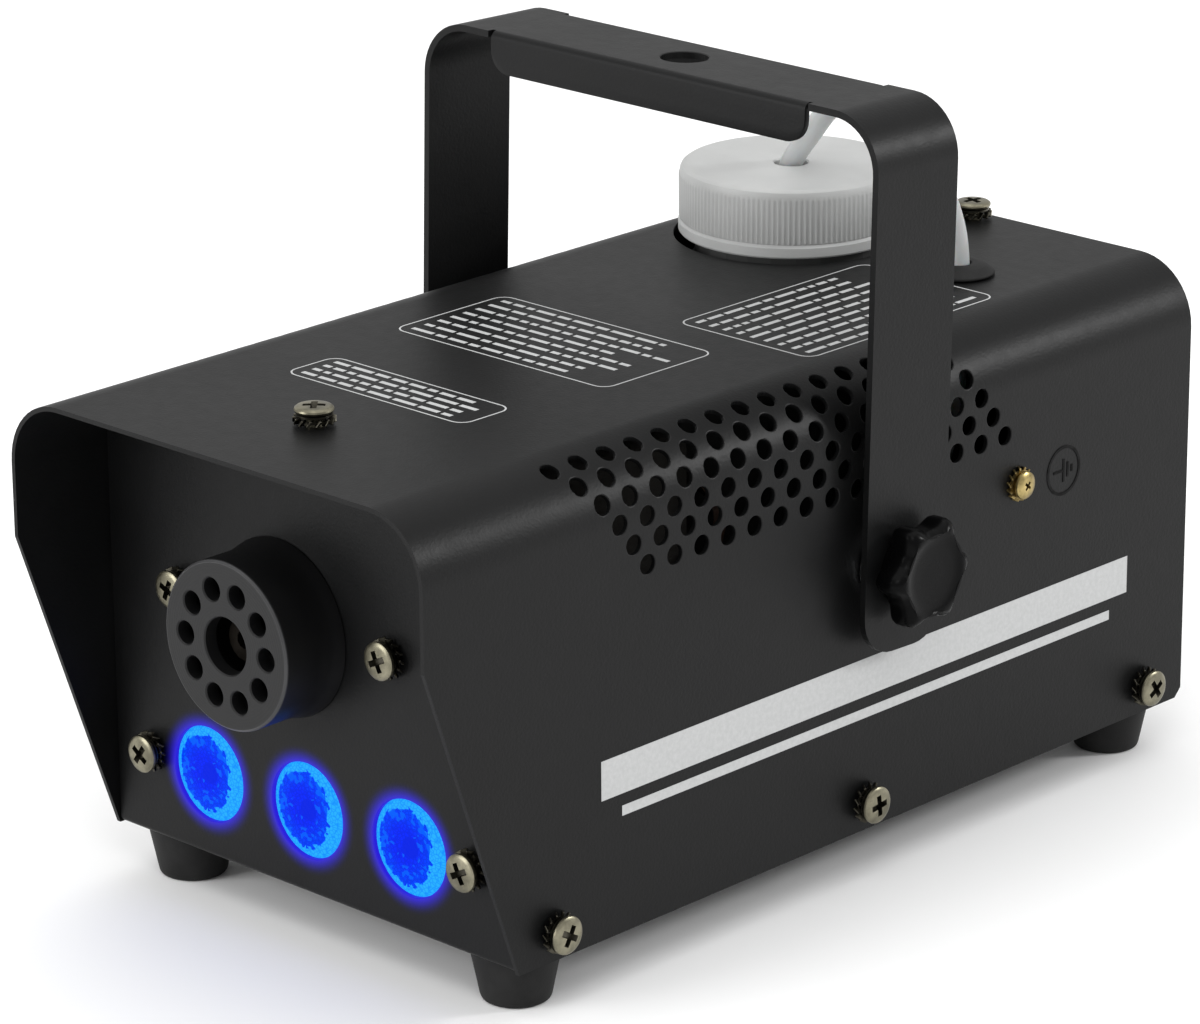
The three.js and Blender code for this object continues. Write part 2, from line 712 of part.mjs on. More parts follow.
function thermalFuse() {
  const centre = [0, HEATER_REAR + GAP + 2.5, NOZZLE_Z + 13];
  return unite(
    rod("x", 2, [NOZZLE_X - 15, NOZZLE_X - 3], centre, 10),
    rod("x", 0.6, [NOZZLE_X - 18, NOZZLE_X], centre, 6),
  );
}

function addHeater() {
  add(casing, "nozzle", blackPlastic, nozzle());
  add(casing, "outlet_pipe", brass, outletPipe());
  add(casing, "heater_block", aluminium, heaterBlock());
  add(casing, "heating_element", steel, heatingElement());
  add(casing, "heater_wrap", woolWhite, heaterWrap());
  add(casing, "heater_bracket", steel, heaterBracket());
  add(casing, "thermostat", blackPlastic, thermostat());
  add(casing, "thermal_fuse", steel, thermalFuse());
}

// ---------- lights ----------

// A lens stands along +Z here, with its flange behind the panel and its crown in the panel's hole.
function lens() {
  const crownR = LED_HOLE_R - GAP;
  const face = SHEET + GAP - 0.4;
  return turned(
    "z",
    [
      [0, -LENS_FLANGE_T],
      [LED_FLANGE_R - GAP, -LENS_FLANGE_T],
      [LED_FLANGE_R - GAP, 0],
      [crownR, 0],
      [crownR, face - 0.6],
      [crownR * 0.6, face - 0.1],
      [0, face],
    ],
    [0, 0, 0],
    20,
  );
}

const HOLDER_FRONT = FRONT_Y + SHEET + GAP;

function ledHolder() {
  const outline = roundedRectangle(HOLDER_W / 2, HOLDER_H / 2, 4);
  const through = [HOLDER_FRONT - 1, HOLDER_FRONT + HOLDER_T + 1];
  const seat = [through[0], HOLDER_FRONT + LENS_FLANGE_T + 2 * GAP];
  let holder = prism("y", outline, [HOLDER_FRONT, HOLDER_FRONT + HOLDER_T], 2).translate(0, 0, LED_Z);
  for (const { x } of LED_PLACES)
    holder = cut(
      holder,
      rod("y", LED_FLANGE_R, seat, [x, 0, LED_Z], 20),
      rod("y", REFLECTOR_R, through, [x, 0, LED_Z], 16),
    );
  for (const { x, z } of FRONT_SCREWS.slice(2))
    holder = holder.subtract(rod("y", SCREW_HOLE_R, through, [x, 0, z], 8));
  return holder;
}

function ledBoard() {
  const front = HOLDER_FRONT + HOLDER_T + GAP;
  const half = LED_PITCH + 10;
  let board = box([LED_X - half, LED_X + half], [front, front + 1.6], [LED_Z - 9, LED_Z + 9]);
  for (const { x } of LED_PLACES) {
    const emitter = [
      [0, front - 5],
      [2.6, front - 3.6],
      [3.4, front - 2],
      [3.4, front + 0.5],
      [0, front + 0.5],
    ];
    board = board.add(turned("y", emitter, [x, 0, LED_Z], 12));
  }
  return board;
}

function addLights() {
  const shape = geometryOf(lens());
  const facing = [Math.PI / 2, 0, 0];
  for (const { where, x } of LED_PLACES)
    add(casing, `led_lens_${where}`, blueLens, shape, [x, FRONT_Y + SHEET + GAP, LED_Z], facing);
  add(casing, "led_holder", blackPlastic, ledHolder());
  add(casing, "led_board", circuitGreen, ledBoard());
}

// ---------- fluid: bottle, cap, hoses and pump ----------

function fluidBottle() {
  const shoulder = CASING_H - BOTTLE_SHOULDER_DROP;
  const neckFoot = CASING_H - SHEET - 3;
  const mouth = CAP_TOP_Z - CAP_WALL - 2;
  const place = [CAP_X, CAP_Y, 0];
  const layers = (inset, bottom, top) => {
    const half = BOTTLE_SIZE / 2 - inset;
    const outline = roundedRectangle(half, half, BOTTLE_CORNER_R - inset);
    return unite(
      prism("z", outline, [bottom, shoulder], 4).translate(CAP_X, CAP_Y, 0),
      turned(
        "z",
        [
          [0, shoulder - 1],
          [half, shoulder - 1],
          [half, shoulder],
          [BOTTLE_NECK_R - inset, neckFoot - inset],
          [BOTTLE_NECK_R - inset, top],
          [0, top],
        ],
        place,
        24,
      ),
    );
  };
  return layers(0, BOTTLE_BASE_Z, mouth).subtract(
    layers(BOTTLE_WALL, BOTTLE_BASE_Z + BOTTLE_WALL, mouth + 1),
  );
}

// Screw cap: hollow below, with a hole in the middle of its top for the hose.
function bottleCap() {
  const base = CASING_H + CAP_RISE;
  const outer = turned(
    "z",
    [
      [0, base],
      [CAP_R, base],
      [CAP_R, CAP_TOP_Z - 2.4],
      [CAP_R - 0.8, CAP_TOP_Z - 0.7],
      [CAP_R - 2.6, CAP_TOP_Z],
      [0, CAP_TOP_Z],
    ],
    [0, 0, 0],
    36,
  );
  return cut(
    outer,
    rod("z", CAP_R - CAP_WALL, [base - 1, CAP_TOP_Z - CAP_WALL], [0, 0, 0], 30),
    rod("z", CAP_HOSE_HOLE_R, [base, CAP_TOP_Z + 1], [0, 0, 0], 16),
  );
}

// Folded shelf under the bottle, with a low wall round it.
function bottleCradle() {
  const half = BOTTLE_SIZE / 2 + GAP;
  const wall = 1.2;
  const place = [CAP_X, CAP_Y, 0];
  const base = FLOOR_Z + GAP;
  const outline = roundedRectangle(half + wall, half + wall, BOTTLE_CORNER_R);
  const well = roundedRectangle(half, half, BOTTLE_CORNER_R - wall);
  return prism("z", outline, [base, base + CRADLE_H], 3)
    .subtract(prism("z", well, [BOTTLE_BASE_Z - GAP, base + CRADLE_H + 1], 3))
    .translate(...place);
}

function hoseGrommet() {
  const under = CASING_H - SHEET - GAP;
  const top = CASING_H + GROMMET_RISE;
  const flange = GROMMET_R;
  const waist = GROMMET_HOLE_R - GAP;
  const bush = turned(
    "z",
    [
      [0, under - 2.5],
      [flange - 1, under - 2.5],
      [flange - 1, under],
      [waist, under],
      [waist, CASING_H + GAP],
      [flange, CASING_H + GAP],
      [flange, CASING_H + GAP + 0.7],
      [flange - 2, top - 0.5],
      [HOSE_R + 1.6, top],
      [0, top],
    ],
    [GROMMET_X, CAP_Y, 0],
    16,
  );
  return bush.subtract(rod("z", HOSE_HOLE_R, [under - 4, top + 1], [GROMMET_X, CAP_Y, 0], 10));
}

// Route of the clear hose: out of the cap, over in one loop, down into the grommet.
// Its points are [x, distance behind the cap's middle, height above the casing].
const HOSE_ROUTE = [
  [-22.6, 0, 12.8],
  [-21.9, 0, 16],
  [-18.9, 0, 20.4],
  [-15.9, -0.2, 24],
  [-12.6, -1, 27.6],
  [-8.5, -3, 31],
  [-3.8, -5.6, 33.5],
  [1.4, -7.9, 34.6],
  [6.8, -9, 34.2],
  [12.6, -8.6, 32.1],
  [17.7, -6.8, 28.3],
  [21.9, -4.4, 23.2],
  [24.6, -2.1, 17.2],
  [26.1, -0.6, 10.6],
  [26.8, 0, 4.6],
  [27, 0, -1],
];

// The rest of the same run, inside the casing, in the casing's own axes.
const FEED_ROUTE = [
  [GROMMET_X, CAP_Y, CASING_H - SHEET - 2 * GAP],
  [GROMMET_X, CAP_Y, CASING_H - 13],
  [GROMMET_X + 0.6, CAP_Y - 2, CASING_H - 29],
  [PUMP_X - 1.4, CAP_Y - 8, PUMP_Z + 26],
  [PUMP_X - 0.4, PUMP_REAR + SPIGOT_L + 18, PUMP_Z + 13],
  [PUMP_X, PUMP_REAR + SPIGOT_L + 11.5, PUMP_Z + 5.5],
  [PUMP_X, PUMP_REAR + SPIGOT_L + 6.1, PUMP_Z + 1.4],
  [PUMP_X, PUMP_REAR + SPIGOT_L + 2.5, PUMP_Z + 0.2],
  [PUMP_X, PUMP_REAR + SPIGOT_L + GAP, PUMP_Z],
];

function pickupTube() {
  const top = CASING_H + HOSE_ROUTE[0][2] - 3 * GAP;
  const centre = [CAP_X, CAP_Y, 0];
  const foot = BOTTLE_BASE_Z + BOTTLE_WALL + 2;
  return unite(
    rod("z", HOSE_R, [foot + 8, top], centre, 10),
    rod("z", 5.5, [foot, foot + 10], centre, 12),
  );
}

function pumpBody() {
  const centre = [PUMP_X, 0, PUMP_Z];
  return unite(
    rod("y", PUMP_R, [PUMP_FRONT, PUMP_REAR], centre, 16),
    rod("y", SPIGOT_R, [PUMP_FRONT - SPIGOT_L, PUMP_REAR + SPIGOT_L], centre, 8),
  );
}

function pumpCoil() {
  const half = COIL_SIZE / 2;
  const length = [PUMP_FRONT + COIL_INSET, PUMP_FRONT + COIL_INSET + COIL_L];
  const past = [length[0] - 1, length[1] + 1];
  const centre = [PUMP_X, 0, PUMP_Z];
  return box([PUMP_X - half, PUMP_X + half], length, [PUMP_Z - half, PUMP_Z + half]).subtract(
    rod("y", PUMP_R + GAP, past, centre, 16),
  );
}

function pumpBracket() {
  const base = FLOOR_Z + GAP;
  const shelf = PUMP_Z - COIL_SIZE / 2 - GAP;
  const x = [PUMP_X - COIL_SIZE / 2, PUMP_X + COIL_SIZE / 2];
  const y = [PUMP_FRONT + COIL_INSET - 2, PUMP_FRONT + COIL_INSET + COIL_L + 2];
  return unite(
    box(x, y, [shelf - 1.5, shelf]),
    box([x[0], x[0] + 1.5], y, [base, shelf]),
    box([x[1] - 1.5, x[1]], y, [base, shelf]),
    box([x[0], x[0] + 10], y, [base, base + 1.5]),
    box([x[1] - 10, x[1]], y, [base, base + 1.5]),
  );
}

// Pressure side of the pump: a thin pipe that climbs clear of the wrap and comes round to the heater.
const PRESSURE_ROUTE = [
  [PUMP_X, PUMP_FRONT - SPIGOT_L - GAP, PUMP_Z],
  [PUMP_X, PUMP_FRONT - SPIGOT_L - 5, PUMP_Z + 0.8],
  [PUMP_X - 0.5, PUMP_FRONT - SPIGOT_L - 8.5, PUMP_Z + 5],
  [PUMP_X - 1.5, PUMP_FRONT - SPIGOT_L - 7.5, PUMP_Z + 12],
  [PUMP_X - 3, HEATER_REAR - 11, PUMP_Z + 20],
  [PUMP_X - 6, HEATER_REAR - 1, INLET_Z - 7.2],
  [PUMP_X - 12, HEATER_REAR + 8, INLET_Z - 3.2],
  [NOZZLE_X + 16, HEATER_REAR + 13.4, INLET_Z - 1.2],
  [NOZZLE_X + 8, HEATER_REAR + 14.4, INLET_Z - 0.2],
  [NOZZLE_X + 2, HEATER_REAR + 11.4, INLET_Z],
  [NOZZLE_X, HEATER_REAR + 6, INLET_Z],
  [NOZZLE_X, HEATER_REAR + GAP, INLET_Z],
];

function addFluidSide() {
  add(casing, "fluid_bottle", whitePlastic, fluidBottle());
  add(casing, "bottle_cradle", steel, bottleCradle());
  add(casing, "bottle_cap", whitePlastic, bottleCap(), [CAP_X, CAP_Y, 0]);
  add(casing, "hose_grommet", blackRubber, hoseGrommet());
  add(casing, "fluid_hose", clearPlastic, tube(HOSE_ROUTE, HOSE_R, 10, 2.5 * HOSE_R), [0, CAP_Y, CASING_H]);
  add(casing, "feed_hose", clearPlastic, tube(FEED_ROUTE, HOSE_R, 8, 3 * HOSE_R));
  add(casing, "pickup_tube", clearPlastic, pickupTube());
  add(casing, "pressure_pipe", copper, tube(PRESSURE_ROUTE, 1.5, 6, 5));
  add(casing, "pump_body", brass, pumpBody());
  add(casing, "pump_coil", blackPlastic, pumpCoil());
  add(casing, "pump_bracket", steel, pumpBracket());
}

// ---------- electrics ----------

function controlBoard() {
  const base = FLOOR_Z + GAP;
  const x = [20, 54];
  const front = FRONT_Y + 21.9;
  const y = [front, front + 50];
  const plate = [base + 6, base + 7.6];
  let board = unite(
    box(x, y, plate),
    box([24, 40], [front + 6, front + 22], [plate[0] + 1, plate[1] + 14]),
    box([43, 52], [front + 4, front + 32], [plate[0] + 1, plate[1] + 9]),
    rod("z", 5, [plate[0] + 1, plate[1] + 12], [30, front + 36, 0], 12),
  );
  for (const cornerX of [x[0] + 4, x[1] - 4])
    for (const cornerY of [y[0] + 4, y[1] - 4])
      board = board.add(rod("z", 2.5, [base, plate[0] + 0.5], [cornerX, cornerY, 0], 8));
  return board;
}

// Cable entry with its hex nut outside; its cable isn't part of this model.
function mainsGland() {
  const face = REAR_Y + GAP;
  const centre = [GLAND_X, 0, GLAND_Z];
  const body = unite(
    rod("y", GLAND_R - 2, [REAR_Y - 6, face + 1], centre, 16),
    rod("y", GLAND_R, [face, face + 4], centre, 6),
    turned(
      "y",
      [
        [0, face + 3],
        [GLAND_R - 1, face + 3],
        [GLAND_R - 1.4, face + GLAND_L - 3],
        [GLAND_BORE_R + 1.2, face + GLAND_L],
        [0, face + GLAND_L],
      ],
      centre,
      20,
    ),
  );
  return body.subtract(rod("y", GLAND_BORE_R, [REAR_Y - 8, face + GLAND_L + 1], centre, 16));
}

function remoteSocket() {
  const face = REAR_Y + GAP;
  const centre = [SOCKET_X, 0, SOCKET_Z];
  const body = unite(
    rod("y", SOCKET_R - 2, [REAR_Y - 12, face + 1], centre, 20),
    rod("y", SOCKET_R, [face, face + 2.2], centre, 24),
  );
  return body.subtract(rod("y", SOCKET_R - 3.4, [REAR_Y - 8, face + 3], centre, 20));
}

const FUSE_LINK_REAR = REAR_Y - FUSE_CAP_REACH - GAP;
const FUSE_BORE_END = FUSE_LINK_REAR - FUSE_LINK_L - GAP;

function fuseHolder() {
  const face = REAR_Y + GAP;
  const centre = [FUSE_X, 0, FUSE_Z];
  const body = unite(
    rod("y", FUSE_R - 1.5, [FUSE_BORE_END - 2, face + 1], centre, 16),
    rod("y", FUSE_R, [face, face + 2], centre, 20),
  );
  return body.subtract(rod("y", FUSE_BORE_R, [FUSE_BORE_END, face + 3], centre, 16));
}

// Glass tube with an end cap at each end.
function fuseLink() {
  const rear = FUSE_LINK_REAR;
  const front = rear - FUSE_LINK_L;
  const endCap = 5;
  const centre = [FUSE_X, 0, FUSE_Z];
  return unite(
    rod("y", FUSE_LINK_R - 0.2, [front + 1, rear - 1], centre, 10),
    rod("y", FUSE_LINK_R, [front, front + endCap], centre, 10),
    rod("y", FUSE_LINK_R, [rear - endCap, rear], centre, 10),
  );
}

// Bayonet cap with a screwdriver slot, turning in the holder's bore. Its origin is on the rear panel.
function fuseCap() {
  const base = GAP + 2 + GAP;
  const cap = unite(
    rod("y", FUSE_BORE_R - GAP, [-FUSE_CAP_REACH, base + 1], [0, 0, 0], 12),
    rod("y", FUSE_R - 1, [base, base + 4], [0, 0, 0], 20),
  );
  return cap.subtract(box([-FUSE_R, FUSE_R], [base + 2.8, base + 5], [-0.6, 0.6]));
}

function switchHousing() {
  const face = REAR_Y + GAP;
  const bodyShape = roundedRectangle(SWITCH_W / 2, SWITCH_H / 2, 0.8);
  const rimShape = roundedRectangle(SWITCH_W / 2 + 1.4, SWITCH_H / 2 + 1.4, 1.5);
  const wellShape = roundedRectangle(SWITCH_W / 2 - SWITCH_RIM, SWITCH_H / 2 - SWITCH_RIM, 0.5);
  const body = prism("y", bodyShape, [REAR_Y - 14, face + 0.5], 2);
  const rim = prism("y", rimShape, [face, face + 1.8], 2);
  const well = prism("y", wellShape, [REAR_Y - 8, face + 3], 2);
  return unite(body, rim).subtract(well).translate(SWITCH_X, 0, SWITCH_Z);
}

// See-saw key, drawn level here; it pivots about its own origin. It is set into the housing at its tilt.
function switchRocker() {
  const halfLong = SWITCH_W / 2 - SWITCH_RIM - 0.9;
  const halfWide = SWITCH_H / 2 - SWITCH_RIM - 0.4;
  const shape = new THREE.Shape();
  shape.moveTo(-halfLong + 0.7, 1.4);
  shape.lineTo(-halfLong, 3.6);
  shape.lineTo(0, 2.6);
  shape.lineTo(halfLong, 3.6);
  shape.lineTo(halfLong - 0.7, 1.4);
  shape.lineTo(2.5, -2.5);
  shape.lineTo(-2.5, -2.5);
  return prism("z", shape, [-halfWide, halfWide], 1);
}

function addElectrics() {
  add(casing, "control_board", circuitGreen, controlBoard());
  add(casing, "mains_gland", blackPlastic, mainsGland());
  add(casing, "remote_socket", blackPlastic, remoteSocket());
  add(casing, "fuse_holder", blackPlastic, fuseHolder());
  add(casing, "fuse_link", fuseGlass, fuseLink());
  add(casing, "fuse_cap", blackPlastic, fuseCap(), [FUSE_X, REAR_Y, FUSE_Z]);
  add(casing, "switch_housing", blackPlastic, switchHousing());
  const rockerPlace = [SWITCH_X, REAR_Y, SWITCH_Z];
  add(casing, "switch_rocker", blackPlastic, switchRocker(), rockerPlace, [0, 0, ROCKER_TILT]);
}

// ---------- hanging bracket ----------

// Drawn about its pivot: x across the machine, z up its legs.
function hangingBracket() {
  const width = [-BRACKET_W / 2, BRACKET_W / 2];
  const past = [width[0] - 1, width[1] + 1];
  const inner = BRACKET_HALF - BRACKET_T;
  const underside = BRACKET_RISE - BRACKET_T;
  const outerArch = archOutline(BRACKET_HALF, BRACKET_RISE, BRACKET_CORNER_R, -BRACKET_DROP);
  const innerArch = archOutline(inner, underside, BRACKET_CORNER_R - BRACKET_T, -BRACKET_DROP - 1);
  const strip = prism("y", outerArch, width).subtract(prism("y", innerArch, past));
  const legMiddle = (BRACKET_RISE - BRACKET_DROP) / 2;
  const legHalf = (BRACKET_RISE + BRACKET_DROP) / 2;
  const legOutline = roundedRectangle(BRACKET_W / 2, legHalf, LEG_END_R);
  const rounded = prism("x", legOutline, [-BRACKET_HALF - 1, BRACKET_HALF + 1]).translate(0, 0, legMiddle);
  const flatTop = box([-BRACKET_HALF, BRACKET_HALF], width, [BRACKET_RISE - LEG_END_R, BRACKET_RISE]);
  let bracket = strip.intersect(rounded.add(flatTop));
  const lipOutline = roundedRectangle(LIP_HALF_W, LIP_H, LIP_CORNER_R);
  for (const front of [width[0], width[1] - BRACKET_T]) {
    const lip = prism("y", lipOutline, [front, front + BRACKET_T], 4).translate(0, 0, BRACKET_RISE);
    bracket = bracket.add(lip.intersect(box([-LIP_HALF_W, LIP_HALF_W], past, [0, BRACKET_RISE])));
  }
  return cut(
    bracket,
    rod("z", CLAMP_HOLE_R, [underside - 1, BRACKET_RISE + 1], [0, 0, 0], 20),
    rod("x", STUD_R + GAP, [-BRACKET_HALF - 1, BRACKET_HALF + 1], [0, 0, 0], 16),
  );
}

// Threaded bush in the casing's side: its shoulder keeps the leg off the casing. Drawn for the right side.
function pivotBush() {
  const wall = CASING_W / 2;
  const shoulder = [wall + GAP, BRACKET_HALF - BRACKET_T - GAP];
  const bush = unite(
    rod("x", BUSH_FLANGE_R, shoulder, [0, 0, 0], 24),
    rod("x", BUSH_BARREL_R, [wall - BUSH_DEPTH, shoulder[0] + 1], [0, 0, 0], 16),
  );
  return bush.subtract(rod("x", STUD_R + GAP, [wall - BUSH_DEPTH - 1, shoulder[1] + 1], [0, 0, 0], 16));
}

// Six-lobed clamp knob with its moulded-in stud, drawn for the right side.
function clampKnob() {
  const start = BRACKET_HALF + GAP;
  const starStart = start + KNOB_HUB_T;
  const shape = new THREE.Shape();
  const corners = KNOB_LOBES * 6;
  for (let corner = 0; corner < corners; corner += 1) {
    const angle = (2 * Math.PI * corner) / corners;
    const radius = KNOB_R - (KNOB_VALLEY * (1 - Math.cos(KNOB_LOBES * angle))) / 2;
    const point = [radius * Math.cos(angle), radius * Math.sin(angle)];
    if (corner === 0) shape.moveTo(...point);
    else shape.lineTo(...point);
  }
  return unite(
    prism("x", shape, [starStart, starStart + KNOB_T]),
    rod("x", KNOB_HUB_R, [start, starStart + 0.5], [0, 0, 0], 24),
    rod("x", STUD_R, [CASING_W / 2 - BUSH_DEPTH + 1, start + 1], [0, 0, 0], 16),
  );
}

function addBracket() {
  const pivot = new THREE.Group();
  pivot.position.set(0, BRACKET_Y, BRACKET_Z);
  casing.add(pivot);
  const leaning = new THREE.Group();
  leaning.rotation.x = BRACKET_LEAN;
  pivot.add(leaning);
  add(leaning, "hanging_bracket", blackPaint, hangingBracket());
  const bushShape = geometryOf(pivotBush());
  const knobShape = geometryOf(clampKnob());
  for (const { side, sign } of SIDES) {
    const turn = [0, 0, sign > 0 ? 0 : Math.PI];
    add(pivot, `pivot_bush_${side}`, steel, bushShape, [0, 0, 0], turn);
    add(pivot, `clamp_knob_${side}`, blackPlastic, knobShape, [0, 0, 0], turn);
  }
}

// ---------- the whole machine ----------

add(casing, "upper_cover", blackPaint, upperCover());
add(casing, "chassis_tray", blackPaint, chassisTray());
addFeet();
addScrews();
addHeater();
addLights();
addFluidSide();
addElectrics();
addBracket();

const machine = new THREE.Group();
machine.add(casing);
// The gland is the only piece that stands out behind the cover, so half of it sets the middle.
machine.position.y = -(REAR_Y + GAP + GLAND_L - CASING_L / 2) / 2;

export default machine;
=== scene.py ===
"""Looks of a small stage fog machine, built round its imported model. Laid out as an add-on: one operator for
each piece or group of like pieces, one for the stage, and main() runs them in order."""

import math
import random

import bmesh
import bpy
from bpy.props import FloatProperty, FloatVectorProperty, PointerProperty
from mathutils import Matrix, Vector
from mathutils.geometry import delaunay_2d_cdt


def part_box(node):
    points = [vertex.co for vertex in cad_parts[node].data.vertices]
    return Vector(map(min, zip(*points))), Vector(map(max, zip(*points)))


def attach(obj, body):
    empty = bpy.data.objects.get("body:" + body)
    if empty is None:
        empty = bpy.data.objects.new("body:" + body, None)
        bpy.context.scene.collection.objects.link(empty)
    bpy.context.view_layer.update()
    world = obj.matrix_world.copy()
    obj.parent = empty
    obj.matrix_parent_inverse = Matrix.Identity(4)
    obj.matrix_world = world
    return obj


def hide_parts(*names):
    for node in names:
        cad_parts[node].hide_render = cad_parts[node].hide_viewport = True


bl_info = {
    "name": "Stage fog machine",
    "version": (1, 0, 0),
    "blender": (4, 5, 0),
    "location": "View3D > Sidebar > Fog machine",
    "description": "Builds the looks of a small stage fog machine round its packed model",
    "category": "Object",
}

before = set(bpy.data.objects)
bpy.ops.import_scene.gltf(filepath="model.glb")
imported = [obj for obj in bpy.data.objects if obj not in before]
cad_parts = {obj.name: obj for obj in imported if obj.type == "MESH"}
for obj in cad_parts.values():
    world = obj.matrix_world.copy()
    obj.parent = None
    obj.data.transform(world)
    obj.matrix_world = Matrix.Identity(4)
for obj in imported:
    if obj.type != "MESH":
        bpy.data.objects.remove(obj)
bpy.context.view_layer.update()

MM = 0.001
FOOT_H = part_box("foot_front_left")[1].z
COVER_LOW, COVER_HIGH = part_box("upper_cover")
COVER_MID_Y = (COVER_LOW.y + COVER_HIGH.y) / 2
PANEL_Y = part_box("chassis_tray")[0].y
REAR_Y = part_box("chassis_tray")[1].y
HALF_W = COVER_HIGH.x
TOP_Z = COVER_HIGH.z


def machine_point(x, y, z):
    """A point given in millimetres: y from the casing's middle, z from its lower edge."""
    return Vector((x * MM, COVER_MID_Y + y * MM, FOOT_H + z * MM))


# ---------- sizes and colours that a user may change ----------


class CasingSizes(bpy.types.PropertyGroup):
    """Sizes of the folded sheet"""

    sheet: FloatProperty(
        name="Sheet", description="Thickness of the casing's sheet", default=0.0010, min=0.0006, max=0.0012,
        subtype="DISTANCE", unit="LENGTH",
    )
    edge_radius: FloatProperty(
        name="Edge radius", description="Radius of the casing's long upper edges", default=0.0146, min=0.010,
        max=0.020, subtype="DISTANCE", unit="LENGTH",
    )
    vent: FloatProperty(
        name="Vent", description="Diameter of a vent hole", default=0.0043, min=0.003, max=0.0049,
        subtype="DISTANCE", unit="LENGTH",
    )


class FinishColours(bpy.types.PropertyGroup):
    """Colours of the main finishes"""

    paint: FloatVectorProperty(
        name="Paint", description="Powder coat of the casing and bracket", subtype="COLOR", size=3,
        default=(0.0036, 0.0037, 0.0038), min=0, max=1,
    )
    cap: FloatVectorProperty(
        name="Cap", description="Plastic of the bottle's cap", subtype="COLOR", size=3,
        default=(0.435, 0.44, 0.435), min=0, max=1,
    )
    nickel: FloatVectorProperty(
        name="Nickel", description="Plating of the screws", subtype="COLOR", size=3,
        default=(0.22, 0.205, 0.148), min=0, max=1,
    )
    lamp: FloatVectorProperty(
        name="Lamp", description="Light of the lamps", subtype="COLOR", size=3,
        default=(0.003, 0.026, 0.98), min=0, max=1,
    )
    print_ink: FloatVectorProperty(
        name="Print", description="Ink of the printed lines", subtype="COLOR", size=3,
        default=(0.45, 0.455, 0.455), min=0, max=1,
    )


# ---------- shader maths ----------


class Val:
    """A socket in a material's tree. Arithmetic on it adds Math nodes."""

    def __init__(self, tree, socket):
        self.tree = tree
        self.socket = socket

    def _math(self, operation, *values, swap=False):
        order = (*values, self) if swap else (self, *values)
        return self.tree.node("ShaderNodeMath", {"operation": operation}, order)

    def __add__(self, other):
        return self._math("ADD", other)

    def __radd__(self, other):
        return self._math("ADD", other)

    def __sub__(self, other):
        return self._math("SUBTRACT", other)

    def __rsub__(self, other):
        return self._math("SUBTRACT", other, swap=True)

    def __mul__(self, other):
        return self._math("MULTIPLY", other)

    def __rmul__(self, other):
        return self._math("MULTIPLY", other)

    def __truediv__(self, other):
        return self._math("DIVIDE", other)

    def __pow__(self, other):
        return self._math("POWER", other)

    def wave(self):
        return self._math("SINE")

    def whole(self):
        return self._math("ROUND")

    def least(self, other):
        return self._math("MINIMUM", other)

    def most(self, other):
        return self._math("MAXIMUM", other)

    def ramp(self, low, high):
        """0 below low, 1 above high, and a smooth step between them."""
        settings = {"interpolation_type": "SMOOTHSTEP"}
        return self.tree.node("ShaderNodeMapRange", settings, (self, low, high, 0.0, 1.0))


class Finish:
    """One material. Everything that varies is an expression on its object-space point."""

    def __init__(self, name, **constants):
        self.material = bpy.data.materials.new(name)
        self.material.use_nodes = True
        self.nodes = self.material.node_tree.nodes
        self.links = self.material.node_tree.links
        self.shader = self.nodes["Principled BSDF"]
        self.point = self.node("ShaderNodeTexCoord", {}, output="Object")
        for socket, value in constants.items():
            self.shader.inputs[socket.replace("_", " ")].default_value = value

    def node(self, kind, settings, sockets=(), output=0):
        """Adds a node: its settings first, then values or links for its sockets, by place or by name."""
        made = self.nodes.new(kind)
        for key, value in settings.items():
            setattr(made, key, value)
        for key, value in sockets.items() if isinstance(sockets, dict) else enumerate(sockets):
            socket = made.inputs[key]
            if isinstance(value, Val):
                self.links.new(value.socket, socket)
            else:
                socket.default_value = (*value, 1) if socket.type == "RGBA" else value
        return Val(self, made.outputs[output])

    def axis(self, name, point=None):
        return self.node("ShaderNodeSeparateXYZ", {}, (point or self.point,), name)

    def noise(self, scale, detail=4.0, roughness=0.55, stretch=None, point=None):
        place = point or self.point
        if stretch:
            place = self.node("ShaderNodeVectorMath", {"operation": "MULTIPLY"}, (place, stretch))
        sockets = {"Vector": place, "Scale": scale, "Detail": detail, "Roughness": roughness}
        return self.node("ShaderNodeTexNoise", {}, sockets)

    def cells(self, scale, output="Distance", feature="F1", point=None):
        sockets = {"Vector": point or self.point, "Scale": scale}
        return self.node("ShaderNodeTexVoronoi", {"feature": feature}, sockets, output)

    def mix(self, factor, first, second):
        return self.node("ShaderNodeMix", {"data_type": "RGBA"}, {0: factor, 6: first, 7: second}, 2)

    def bump(self, height, strength, distance):
        sockets = {"Strength": strength, "Distance": distance, "Height": height}
        return self.node("ShaderNodeBump", {}, sockets)

    def feed(self, **values):
        for socket, value in values.items():
            self.links.new(value.socket, self.shader.inputs[socket.replace("_", " ")])
        return self.material


def shade(colour, factor):
    return tuple(min(1.0, c * factor) for c in colour)


# ---------- finishes ----------


